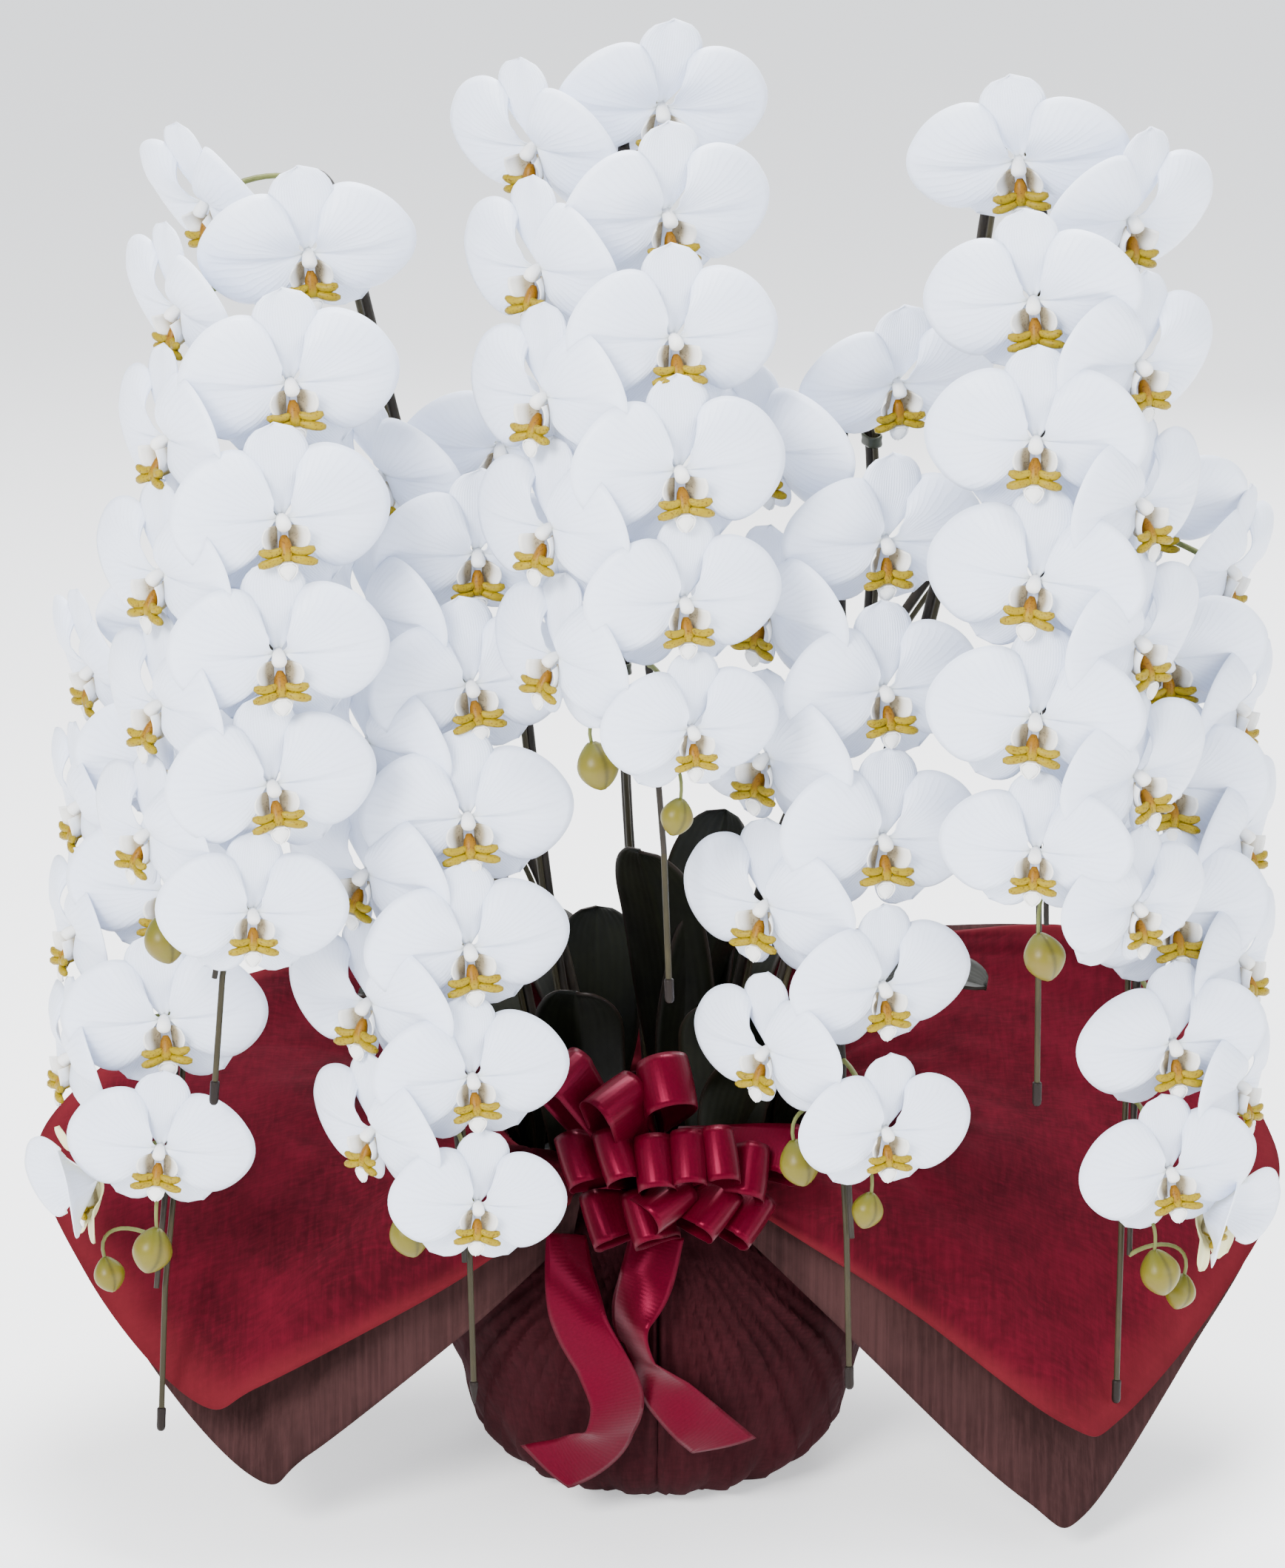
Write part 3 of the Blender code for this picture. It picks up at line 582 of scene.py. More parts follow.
class Tree:
    """A Geometry Nodes tree with named inputs, built one node at a time."""

    def __init__(self, name, inputs):
        self.group = bpy.data.node_groups.new(name, "GeometryNodeTree")
        sockets = self.group.interface
        sockets.new_socket("Geometry", in_out="INPUT", socket_type="NodeSocketGeometry")
        for label, kind in inputs:
            sockets.new_socket(label, in_out="INPUT", socket_type="NodeSocket" + kind)
        sockets.new_socket("Geometry", in_out="OUTPUT", socket_type="NodeSocketGeometry")
        self.inputs = self.group.nodes.new("NodeGroupInput").outputs

    def add(self, kind, sockets, settings=None, output=None):
        """A node with its settings first, then its sockets by name; it gives one output."""
        node = self.group.nodes.new(kind)
        for key, setting in (settings or {}).items():
            setattr(node, key, setting)
        for key, given in sockets.items():
            target = next(s for s in node.inputs if s.name == key and s.enabled)
            if isinstance(given, bpy.types.NodeSocket):
                self.group.links.new(given, target)
            elif isinstance(given, list):
                for one in given:
                    self.group.links.new(one, target)
            else:
                target.default_value = given
        return node.outputs[output] if output else next(s for s in node.outputs if s.enabled)

    def attribute(self, name, kind="FLOAT"):
        return self.add("GeometryNodeInputNamedAttribute", {"Name": name}, {"data_type": kind})

    def close(self, geometry):
        """Ends the tree in plain geometry with the piece's own material."""
        smooth = self.add("GeometryNodeSetShadeSmooth", {"Geometry": geometry, "Shade Smooth": True})
        real = self.add("GeometryNodeRealizeInstances", {"Geometry": smooth})
        sockets = {"Geometry": real, "Material": self.inputs["Material"]}
        end = self.add("GeometryNodeSetMaterial", sockets)
        self.group.links.new(end, self.group.nodes.new("NodeGroupOutput").inputs[0])

    def run(self, made, values):
        """Runs the tree on an object and leaves the result as its plain mesh."""
        step = made.modifiers.new(self.group.name, "NODES")
        step.node_group = self.group
        for item in self.group.interface.items_tree:
            if item.in_out == "INPUT" and item.name in values:
                step[item.identifier] = values[item.name]
        return settled(made)


def strand_tree():
    """Round strands along a mesh's edges, as thick as each point's girth."""
    tree = Tree("round strands", [("Sides", "Int"), ("Material", "Material")])
    curve = tree.add("GeometryNodeMeshToCurve", {"Mesh": tree.inputs["Geometry"]})
    sockets = {"Resolution": tree.inputs["Sides"], "Radius": 1.0}
    ring = tree.add("GeometryNodeCurvePrimitiveCircle", sockets, {"mode": "RADIUS"})
    girth = tree.attribute("girth")
    sockets = {"Curve": curve, "Profile Curve": ring, "Scale": girth, "Fill Caps": True}
    tree.close(tree.add("GeometryNodeCurveToMesh", sockets))
    return tree


def strands(name, lines, surface, sides=8):
    """Round strands along lines, each a list of (point, radius)."""
    data = bpy.data.meshes.new(name)
    points, edges, girths = [], [], []
    for line in lines:
        first = len(points)
        points += [tuple(p) for p, _ in line]
        girths += [r for _, r in line]
        edges += [(first + k, first + k + 1) for k in range(len(line) - 1)]
    data.from_pydata(points, edges, [])
    data.attributes.new("girth", "FLOAT", "POINT").data.foreach_set("value", girths)
    made = bpy.data.objects.new(name, data)
    bpy.context.scene.collection.objects.link(made)
    return TREES["strands"].run(made, {"Sides": sides, "Material": surface})


def copies_tree(count):
    """Copies of up to count patterns on a mesh's points, each turned and sized as its point says."""
    inputs = [(f"Pattern {k + 1}", "Object") for k in range(count)] + [("Material", "Material")]
    tree = Tree(f"copies of {count}", inputs)
    patterns = []
    for k in range(count):
        sockets = {"Object": tree.inputs[f"Pattern {k + 1}"]}
        shape = tree.add("GeometryNodeObjectInfo", sockets, output="Geometry")
        patterns.append(tree.add("GeometryNodeGeometryToInstance", {"Geometry": shape}))
    turn = tree.add("FunctionNodeEulerToRotation", {"Euler": tree.attribute("turn", "FLOAT_VECTOR")})
    sockets = {
        "Points": tree.inputs["Geometry"],
        "Instance": tree.add("GeometryNodeJoinGeometry", {"Geometry": patterns[::-1]}),
        "Pick Instance": True,
        "Instance Index": tree.attribute("pick", "INT"),
        "Rotation": turn,
        "Scale": tree.attribute("size"),
    }
    tree.close(tree.add("GeometryNodeInstanceOnPoints", sockets))
    return tree


class Spot(NamedTuple):
    """Where a copy goes: its place, its rotation as a matrix, its size and which pattern it copies."""

    place: Vector
    turn: Matrix
    size: float
    pick: int


def copies(name, spots, patterns, surface):
    """One piece made of a copy of a pattern at each spot."""
    data = bpy.data.meshes.new(name)
    data.from_pydata([tuple(s.place) for s in spots], [], [])
    turns = [tuple(s.turn.to_euler()) for s in spots]
    turned = data.attributes.new("turn", "FLOAT_VECTOR", "POINT")
    turned.data.foreach_set("vector", np.array(turns).ravel())
    for key, kind in (("size", "FLOAT"), ("pick", "INT")):
        values = [getattr(spot, key) for spot in spots]
        data.attributes.new(key, kind, "POINT").data.foreach_set("value", values)
    made = bpy.data.objects.new(name, data)
    bpy.context.scene.collection.objects.link(made)
    values = {f"Pattern {k + 1}": one for k, one in enumerate(patterns)}
    count = len(patterns)
    if count not in TREES:
        TREES[count] = copies_tree(count)
    return TREES[count].run(made, {**values, "Material": surface})


TREES = {}


# Finishes


class Value:
    """A number in a material's nodes. Python's operators on it add Math nodes."""

    def __init__(self, finish, socket):
        self.finish = finish
        self.socket = socket

    def math(self, operation, *others):
        given = [o.socket if isinstance(o, Value) else o for o in (self, *others)]
        return Value(self.finish, self.finish.node("ShaderNodeMath", {"operation": operation}, given))

    def __add__(self, other):
        return self.math("ADD", other)

    __radd__ = __add__

    def __sub__(self, other):
        return self.math("SUBTRACT", other)

    def __rsub__(self, other):
        return (self * -1).math("ADD", other)

    def __mul__(self, other):
        return self.math("MULTIPLY", other)

    __rmul__ = __mul__

    def __pow__(self, other):
        return self.math("POWER", other)

    def sine(self):
        return self.math("SINE")

    def absolute(self):
        return self.math("ABSOLUTE")

    def step(self, low, high):
        """0 below low, 1 above high, and smooth between."""
        sockets = [self.socket, low, high, 0.0, 1.0]
        settings = {"interpolation_type": "SMOOTHSTEP"}
        return Value(self.finish, self.finish.node("ShaderNodeMapRange", settings, sockets))


class Finish:
    """A material while it is built: its shader and short ways to add nodes to it."""

    def __init__(self, name, **constants):
        self.material = bpy.data.materials.new(name)
        self.material.use_nodes = True
        self.tree = self.material.node_tree
        self.shader = self.tree.nodes["Principled BSDF"]
        self.object_place = self.node("ShaderNodeTexCoord", None, [], "Object")
        for key, value in constants.items():
            self.shader.inputs[key.replace("_", " ")].default_value = value

    def node(self, kind, settings, sockets, output=0):
        """A node with its settings first, then its inputs by name or in order; it gives one output."""
        node = self.tree.nodes.new(kind)
        for key, setting in (settings or {}).items():
            setattr(node, key, setting)
        if isinstance(sockets, dict):
            pairs = [(node.inputs[key], given) for key, given in sockets.items()]
        else:
            pairs = list(zip([s for s in node.inputs if s.enabled], sockets))
        for target, given in pairs:
            given = given.socket if isinstance(given, Value) else given
            if isinstance(given, bpy.types.NodeSocket):
                self.tree.links.new(given, target)
            elif given is not None:
                target.default_value = given
        if isinstance(output, str):
            return node.outputs[output]
        return [s for s in node.outputs if s.enabled][output]

    def pattern(self):
        """(across, along) of the piece's own UV map, as two numbers."""
        spread = self.node("ShaderNodeUVMap", {"uv_map": "pattern"}, [])
        return tuple(Value(self, self.node("ShaderNodeSeparateXYZ", None, [spread], k)) for k in (0, 1))

    def stretched(self, scale, source=None):
        """A coordinate stretched by a scale for each axis."""
        return self.node("ShaderNodeMapping", None, [source or self.object_place, None, None, scale])

    def noise(self, scale, detail=3.0, roughness=0.5, source=None):
        place = source or self.object_place
        sockets = [place, scale, detail, roughness]
        return Value(self, self.node("ShaderNodeTexNoise", {"noise_dimensions": "3D"}, sockets))

    def joined(self, across, along, third=0.0):
        """Three numbers as one coordinate."""
        return self.node("ShaderNodeCombineXYZ", None, [across, along, third])

    def tint(self):
        return self.node("ShaderNodeAttribute", {"attribute_name": "tint"}, [], "Color")

    def mix(self, factor, first, second, blend="MIX"):
        """A colour between two others, each a link or (red, green, blue)."""
        colours = [(*one, 1) if isinstance(one, tuple) else one for one in (first, second)]
        settings = {"data_type": "RGBA", "blend_type": blend}
        return self.node("ShaderNodeMix", settings, [factor, *colours])

    def feed(self, name, given):
        socket = given.socket if isinstance(given, Value) else given
        self.tree.links.new(socket, self.shader.inputs[name])

    def bump(self, height, distance, strength=1.0):
        sockets = {"Strength": strength, "Distance": distance, "Height": height}
        self.feed("Normal", self.node("ShaderNodeBump", None, sockets))


def shade(colour, factor):
    """A colour made lighter or darker."""
    return tuple(min(part * factor, 1) for part in colour)


def petal_finish(colours):
    constants = {"Roughness": 0.48, "Sheen_Weight": 0.06}
    finish = Finish("petal", Subsurface_Weight=0.22, Subsurface_Scale=0.004, **constants)
    finish.shader.inputs["Subsurface Radius"].default_value = (1.0, 0.95, 0.9)
    across, along = finish.pattern()
    wander = finish.noise(60.0, 2.0)
    veins = ((across * 150.0 + wander * 9.0).sine() * 0.5 + 0.5) ** 3
    thin = finish.noise(420.0, 3.0)
    soft = along.step(0.02, 0.5) * (1 - along.step(0.86, 1.0))
    marks = veins * soft * 0.16 + thin * 0.06
    base = (1 - along.step(0.0, 0.16)) * 0.55
    blotch = finish.noise(38.0, 2.0).step(0.35, 0.75) * 0.35
    shadow = shade(colours.petal, 0.9)
    body = finish.mix(blotch, tuple(colours.petal), (shadow[0], shadow[1] * 1.01, shadow[2] * 1.06))
    veined = finish.mix(marks, body, tuple(colours.petal_vein))
    rooted = finish.mix(base, veined, (0.78, 0.81, 0.72))
    tinted = finish.mix(1.0, rooted, finish.tint(), "MULTIPLY")
    finish.feed("Base Color", tinted)
    finish.bump(veins * soft * 0.7 + thin * 0.4, 0.0004, 0.5)
    return finish.material


def lip_finish():
    finish = Finish("lip", Roughness=0.45, Specular_IOR_Level=0.2)
    speckle = finish.noise(900.0, 2.0).step(0.56, 0.66)
    patches = finish.noise(260.0, 2.0)
    blue = finish.node("ShaderNodeSeparateColor", None, [finish.tint()], "Blue")
    warm = (1 - Value(finish, blue)).step(0.55, 0.95)
    deep = finish.mix(patches.step(0.3, 0.8) * warm * 0.3, finish.tint(), (0.17, 0.085, 0.0))
    spotted = finish.mix(speckle * warm * 0.6, deep, (0.045, 0.008, 0.002))
    finish.feed("Base Color", spotted)
    finish.bump(finish.noise(700.0, 2.0), 0.0003, 0.5)
    return finish.material


def bud_finish(colours):
    finish = Finish("bud", Roughness=0.42, Specular_IOR_Level=0.3)
    across, along = finish.pattern()
    seams = (across * 3 * pi).sine().absolute() ** 40
    blush = finish.noise(70.0, 3.0).step(0.45, 0.75) * 0.5
    body = finish.mix(blush, tuple(colours.bud), (0.125, 0.080, 0.018))
    greened = finish.mix((1 - along).step(0.55, 1.0) * 0.6, body, (0.062, 0.074, 0.0040))
    lined = finish.mix(seams * 0.8, greened, (0.036, 0.030, 0.0020))
    mottled = finish.mix(finish.noise(500.0, 3.0) * 0.25, lined, (0.17, 0.14, 0.010))
    finish.feed("Base Color", mottled)
    finish.bump((1 - seams) * 0.6 + finish.noise(650.0, 2.0) * 0.4, 0.0004, 0.4)
    return finish.material


def stem_finish(name, colour, light):
    finish = Finish(name, Roughness=0.5, Specular_IOR_Level=0.2)
    streaks = finish.noise(240.0, 4.0, 0.6, finish.stretched((1.0, 1.0, 0.12)))
    body = finish.mix(streaks.step(0.3, 0.75), tuple(colour), tuple(light))
    stains = finish.noise(25.0).step(0.4, 0.7) * 0.4
    finish.feed("Base Color", finish.mix(stains, body, shade(colour, 0.6)))
    finish.feed("Roughness", finish.noise(90.0) * 0.25 + 0.36)
    finish.bump(streaks, 0.0004, 0.4)
    return finish.material


def wire_finish(colours):
    finish = Finish("wire coating", Specular_IOR_Level=0.2)
    wear = finish.noise(180.0, 4.0, 0.65, finish.stretched((1.0, 1.0, 0.25)))
    worn = finish.mix(wear.step(0.4, 0.8), tuple(colours.wire), shade(colours.wire, 1.7))
    finish.feed("Base Color", worn)
    finish.feed("Roughness", wear * 0.35 + 0.3)
    finish.bump(wear, 0.0002, 0.4)
    return finish.material


def cap_finish():
    finish = Finish("cap rubber", Specular_IOR_Level=0.15)
    grain = finish.noise(900.0, 3.0)
    finish.feed("Base Color", finish.mix(grain, (0.006, 0.004, 0.0035), (0.014, 0.009, 0.007)))
    finish.feed("Roughness", grain * 0.3 + 0.32)
    finish.bump(grain, 0.0001, 0.5)
    return finish.material


def clip_finish():
    finish = Finish("clip plastic", Roughness=0.4, Specular_IOR_Level=0.3)
    cloud = finish.noise(400.0, 3.0)
    finish.feed("Base Color", finish.mix(cloud, (0.010, 0.012, 0.006), (0.022, 0.026, 0.012)))
    finish.feed("Roughness", cloud * 0.2 + 0.3)
    finish.bump(finish.noise(1500.0), 0.0001, 0.4)
    return finish.material


def leaf_finish(colours):
    finish = Finish("leaf", Specular_IOR_Level=0.13)
    across, _ = finish.pattern()
    wander = finish.noise(30.0) * 3.0
    veins = (across * 70.0 + wander).sine() * 0.5 + 0.5
    mottle = finish.noise(24.0, 4.0, 0.6).step(0.35, 0.7)
    # Both leaf colours are painted shade, near-black for the shade among the plants; the mottle mixes them
    # at random
    body = finish.mix(mottle, tuple(colours.leaf), tuple(colours.leaf_light))
    veined = finish.mix(veins * 0.22, body, shade(colours.leaf, 0.5))
    rib = 1 - ((across - 0.5).absolute() * 2).step(0.0, 0.09)
    ribbed = finish.mix(rib * 0.5, veined, shade(colours.leaf_light, 1.25))
    edge = ((across - 0.5).absolute() * 2).step(0.9, 1.0)
    finish.feed("Base Color", finish.mix(edge * 0.4, ribbed, (0.020, 0.009, 0.006)))
    finish.feed("Roughness", finish.noise(60.0) * 0.2 + 0.36)
    finish.bump(veins * 0.5 + finish.noise(300.0) * 0.5, 0.0004, 0.35)
    return finish.material


def moss_finish(name, dark, light):
    finish = Finish(name, Roughness=0.95, Specular_IOR_Level=0.1)
    clumps = finish.noise(120.0, 4.0, 0.65)
    fibres = finish.noise(700.0, 3.0, 0.6)
    body = finish.mix(clumps.step(0.35, 0.7), dark, light)
    finish.feed("Base Color", finish.mix(fibres.step(0.4, 0.7) * 0.5, body, shade(light, 1.4)))
    finish.bump(clumps + fibres * 0.5, 0.0015, 0.6)
    return finish.material


def glaze_finish():
    finish = Finish("pot glaze", Coat_Weight=0.6, Coat_Roughness=0.08)
    cloud = finish.noise(18.0, 4.0, 0.6)
    specks = finish.noise(600.0, 2.0).step(0.68, 0.74)
    body = finish.mix(cloud, (0.46, 0.45, 0.42), (0.54, 0.53, 0.50))
    finish.feed("Base Color", finish.mix(specks * 0.4, body, (0.22, 0.19, 0.15)))
    finish.feed("Roughness", cloud * 0.12 + 0.16)
    finish.bump(finish.noise(45.0, 2.0), 0.0003, 0.25)
    return finish.material


def cloth_finish(name, dark, light, streak, rim=None):
    """Pressed-fibre cloth: a tangle of short fibres, cloudy where it is thicker, and its rim, made lighter
    as painted light where light comes through.
    """
    constants = {"Roughness": 0.87, "Sheen_Roughness": 0.5}
    finish = Finish(name, Specular_IOR_Level=0.06, Sheen_Weight=0.08, **constants)
    finish.shader.inputs["Sheen Tint"].default_value = (*shade(light, 2.2), 1)
    across, along = finish.pattern()
    flat = finish.joined(across, along)
    long_fibres = finish.noise(1.0, 5.0, 0.65, finish.stretched((340.0, 70.0, 1.0), flat))
    cross_fibres = finish.noise(1.0, 4.0, 0.6, finish.stretched((110.0, 520.0, 1.0), flat))
    tangle = long_fibres * streak + cross_fibres * (1 - streak)
    cloud = finish.noise(14.0, 4.0, 0.6)
    body = finish.mix(cloud.step(0.3, 0.72), dark, light)
    fibres = finish.mix(tangle.step(0.42, 0.68) * 0.45, body, shade(light, 1.5))
    woven = finish.mix((1 - tangle).step(0.5, 0.72) * 0.4, fibres, shade(dark, 0.62))
    if rim:
        # Painted light: the rim colour is mixed in towards the sheet's edge, where light comes through
        share = Value(finish, finish.node("ShaderNodeSeparateColor", None, [finish.tint()], "Red"))
        woven = finish.mix(share * (cloud * 0.8 + 0.35), woven, rim)
    finish.feed("Base Color", woven)
    finish.bump(tangle, 0.0006, 0.5)
    return finish


def ribbon_finish(colours):
    finish = Finish("satin ribbon", Anisotropic=0.5, Specular_IOR_Level=0.38)
    finish.shader.inputs["Specular Tint"].default_value = (1.0, 0.08, 0.22, 1)
    across, along = finish.pattern()
    weft = (along * 2600.0).sine() * 0.5 + 0.5
    threads = finish.stretched((18.0, 900.0, 1.0), finish.joined(across, along))
    slubs = finish.noise(1.0, 3.0, 0.5, threads)
    edge = ((across - 0.5).absolute() * 2).step(0.93, 0.985)
    body = finish.mix(slubs.step(0.3, 0.75), shade(colours.ribbon, 0.72), tuple(colours.ribbon))
    finish.feed("Base Color", finish.mix(edge * 0.5, body, shade(colours.ribbon, 0.45)))
    finish.feed("Roughness", slubs * 0.12 + edge * 0.2 + 0.25)
    finish.bump(weft * 0.4 + slubs * 0.6 + edge * 0.8, 0.00012, 0.5)
    return finish.material


# Blooms

# A petal's outline from its lower inner corner round to its upper one: (angle from level, reach)
PETAL_OUTLINE = (
    (-52, 0.0345),
    (-47, 0.0422),
    (-40, 0.0468),
    (-30, 0.0508),
    (-20, 0.0542),
    (-10, 0.0570),
    (0, 0.0584),
    (10, 0.0580),
    (20, 0.0560),
    (30, 0.0540),
    (40, 0.0515),
    (50, 0.0482),
    (58, 0.0448),
    (65, 0.0402),
    (70, 0.0350),
    (72, 0.0300),
)
MIDRIB = 4.0  # the angle at which a petal's crease runs out


def petal_sheet(shape, side, wave, cup, outline):
    """A broad fan petal on its narrow claw, with a shelf above its level crease and a hollow below it."""
    rows, columns = 14, len(outline) - 1

    def point(u, v):
        angle, reach = outline[round(v * columns)]
        turn = radians(MIDRIB + (angle - MIDRIB) * min(1, 0.40 + 1.9 * u))
        run = 0.0016 + (reach - 0.0016) * u
        off = angle - MIDRIB
        forward = 0.0046 * sin(0.85 * pi * u)
        forward += 0.0062 * ramp(off, 2, 46) * u * (1.32 - u)
        forward += 0.0105 * ramp(-off, 4, 50) * u * (1.18 - u)
        forward += 0.0019 * tanh(off / 3.2) * exp(-abs(off) / 28) * sin(pi * min(0.97 * u**0.75, 1))
        forward -= cup * u**3 * (0.6 + 0.9 * sin(radians(angle)) ** 2)
        forward += wave[0] * sin(radians(3.2 * angle) + wave[1]) * u * u
        return Vector((side * (0.0010 + run * cos(turn)), -0.0012 - forward, 0.0012 + run * sin(turn)))

    shape.grid(rows, columns, point)


def sepal_sheet(shape, lean, length, width, back, shadow):
    """A sepal behind the petals: narrow where it grows from the centre, broad and round towards its tip.
    Its tint, shadow, is the bloom's tone darkened as painted shade.
    """
    way = Vector((sin(radians(lean)), 0, cos(radians(lean))))
    side = Vector((way.z, 0, -way.x))
    broad = 0.66

    def point(u, v):
        across = 2 * v - 1
        if u <= broad:
            share = 0.07 + 0.93 * sin(u / broad * pi / 2) ** 1.15
        else:
            share = max(1 - ((u - broad) / (1 - broad)) ** 2.2, 0) ** 0.55
        depth = back + 0.0070 * u * u - 0.0024 * (1 - across**2) * sin(pi * u)
        depth += 0.0006 * sin(5 * across + 3 * u)
        return way * length * u + side * width / 2 * share * across + Vector((0, depth, 0.0012))

    shape.grid(16, 10, point, tint=lambda u, v: shadow)


def bloom_petals(name, wave, cup, opened=1.0, tone=(1, 1, 1)):
    """Two petals in front of three sepals. A bloom that has only half opened is cupped forward."""
    shape = Shape()
    outline = smooth_line(PETAL_OUTLINE, 3)
    for side in (-1, 1):
        petal_sheet(shape, side, (wave[0], wave[1] + side), cup, outline)
    # Painted shade on the sepals behind the petals: the upper one darkened to 0.985, the lower pair to 0.94
    shaded_tone = tuple(0.94 * part for part in tone)
    sepal_sheet(shape, 1.5 * wave[2], 0.0500, 0.0355, 0.0012, tuple(0.985 * part for part in tone))
    for side in (-1, 1):
        sepal_sheet(shape, side * (147 + 2 * wave[2]), 0.0490, 0.0335, 0.0022, shaded_tone)
    if opened < 1:
        # Folds every point towards the front, more the further it lies from the centre
        folded = []
        for x, y, z in shape.points:
            reach = sqrt(x * x + z * z)
            fold = (1 - opened) * 1.45 * min(reach / 0.03, 1)
            folded.append((x * cos(fold), y - reach * sin(fold), z * cos(fold)))
        shape.points = folded
    made = shape.object(name)
    return thickened(made, PETAL_THICKNESS)


def bloom_lip(name, spread):
    """The white column over an open mouth, two side lobes, the callus, four arms and the middle lobe."""
    # inner is painted shade: the dark colour deep in a side lobe's hollow, which turns white towards the
    # lit rim
    white, inner = (0.80, 0.80, 0.78), (0.34, 0.29, 0.19)
    yellow, orange = (0.260, 0.185, 0.0), (0.200, 0.085, 0.0)
    sheets = Shape()

    def blended(first, second, share):
        return tuple(a + (b - a) * share for a, b in zip(first, second))

    for side in (-1, 1):

        def lobe(u, v, side=side):
            wide = 0.0122 * (0.55 + 0.45 * sin(pi * min(0.25 + 0.72 * (1 - v), 1))) * spread
            out = 0.0030 + (wide - 0.0030) * u**0.8
            front = 0.0030 + 0.0108 * u**1.4
            return Vector((side * out, -front, -0.0162 + 0.0138 * v + 0.0016 * u * v))

        def lobe_tint(u, v):
            # Painted shade: the lobe darkens from its white rim into its hollow
            lit = blended(inner, white, ramp(u, 0.35, 0.80))
            return blended(lit, yellow, (1 - ramp(v, 0.10, 0.26)) * ramp(u, 0.30, 0.55))

        sheets.grid(8, 9, lobe, tint=lobe_tint)

    def middle(u, v):
        across = 2 * v - 1
        half = 0.0064 * (1 - u) ** 0.7 + 0.0016 * sin(pi * u)
        front = 0.0125 + 0.0050 * sin(2.2 * u) - 0.0020 * across**2
        return Vector((half * across, -front, -0.0165 - 0.0125 * u))

    def middle_tint(u, _):
        return blended(yellow, white, ramp(u, 0.14, 0.34))

    sheets.grid(9, 6, middle, tint=middle_tint)
    lip = thickened(sheets.object(name + "_lobes"), PETAL_THICKNESS)
    rods = Shape()
    right = Vector((1, 0, 0))
    steps = (0, 0.25, 0.5, 0.7, 0.85, 0.95, 1)
    column = [Vector((0, 0.001 - 0.0108 * t, 0.0012 - 0.0036 * t * t)) for t in steps]
    radii = [0.0026, 0.0032, 0.0037, 0.0041, 0.0040, 0.0032, 0.0018]
    rods.tube(column, radii, 10, right, lambda share: white)
    callus = [Vector((0, -0.0062 - 0.0078 * t, -0.0070 - 0.0120 * t)) for t in (0, 0.2, 0.4, 0.6, 0.8, 1)]

    def callus_tint(share):
        return blended(orange, yellow, ramp(share, 0.5, 0.9))

    rods.tube(callus, [0.0016, 0.0030, 0.0036, 0.0038, 0.0038, 0.0024], 8, right, callus_tint)
    for side in (-1, 1):
        arms = (
            ((0.0015, -0.0115, -0.0130), (0.0080, -0.0140, -0.0142), (0.0142, -0.0150, -0.0122)),
            ((0.0015, -0.0130, -0.0172), (0.0082, -0.0160, -0.0182), (0.0150, -0.0158, -0.0198)),
        )
        for low, bend, end in arms:
            line = [Vector((side * x * spread, y, z)) for x, y, z in smooth_line((low, bend, end), 3)]
            sizes = [0.0014, 0.0022, 0.0024, 0.0026, 0.0026, 0.0024, 0.0013]
            rods.tube(line, sizes, 7, Vector((0, 0, 1)), lambda share: yellow)
        curl = []
        for k in range(10):
            t = k / 9
            turn = 4.2 * t
            out = 0.0012 + 0.0062 * sin(turn) * t**0.5
            curl.append(Vector((side * out, -0.0160, -0.0285 + 0.0046 * (1 - cos(turn)))))
        sizes = [0.0006 * (1 - 0.5 * k / 9) for k in range(10)]
        rods.tube(curl, sizes, 5, Vector((0, 1, 0)), lambda share: white)
    solid = rods.object(name, outwards=True)
    return merged(name, [solid, lip])


def merged(name, parts):
    """Several plain meshes as one object."""
    whole = bmesh.new()
    for part in parts:
        whole.from_mesh(part.data)
        old = part.data
        bpy.data.objects.remove(part)
        bpy.data.meshes.remove(old)
    data = bpy.data.meshes.new(name)
    whole.to_mesh(data)
    whole.free()
    made = bpy.data.objects.new(name, data)
    bpy.context.scene.collection.objects.link(made)
    return made


def removed(made):
    data = made.data
    bpy.data.objects.remove(made)
    bpy.data.meshes.remove(data)


def bloom_size(index):
    """Blooms get smaller towards the tip of the spike: index 0 is the last one."""
    return (0.88, 0.92, 0.96)[index] if index < 3 else 1.0


def bloom_side(spike, index):
    return spike.lowest * (1 if index % 2 == 0 else -1)


def bloom_spots(spike, path, sizes, dice):
    """(root on the stem, spot) for each bloom of a spike, lowest first. On two spikes it is half open."""
    spots = []
    for index in range(spike.blooms):
        side = bloom_side(spike, index)
        root = path.at(path.length - spike.bare_tip - index * spike.pitch)
        level = outward(spike.turn + side * spike.fan)
        half_open = index == 0 and spike.name in HALF_OPEN
        reach = sizes.bloom_reach * (HALF_OPEN_REACH if half_open else 1)
        from_crest = spike.blooms - 1 - index
        drop = sizes.bloom_drop * (0.4 + 0.6 * min(from_crest / 2, 1))
        place = root + level * reach - Vector((0, 0, drop))
        nod = sizes.bloom_nod + sizes.crest_nod * max(0, 1 - from_crest / CREST_BLOOMS)
        nod = radians(nod + dice.uniform(-3, 3))
        azimuth = 0.85 * (spike.turn + side * spike.fan) + dice.uniform(-6, 6)
        face = outward(azimuth) * cos(nod) - Vector((0, 0, sin(nod)))
        turn = facing(face) @ Matrix.Rotation(radians(dice.uniform(-7, 7)), 3, "Y")
        pick = int(dice.integers(0, BLOOM_PATTERNS))
        if half_open:
            pick = BLOOM_PATTERNS
        spots.append((root, Spot(place, turn, bloom_size(index) * dice.uniform(0.97, 1.02), pick)))
    return spots


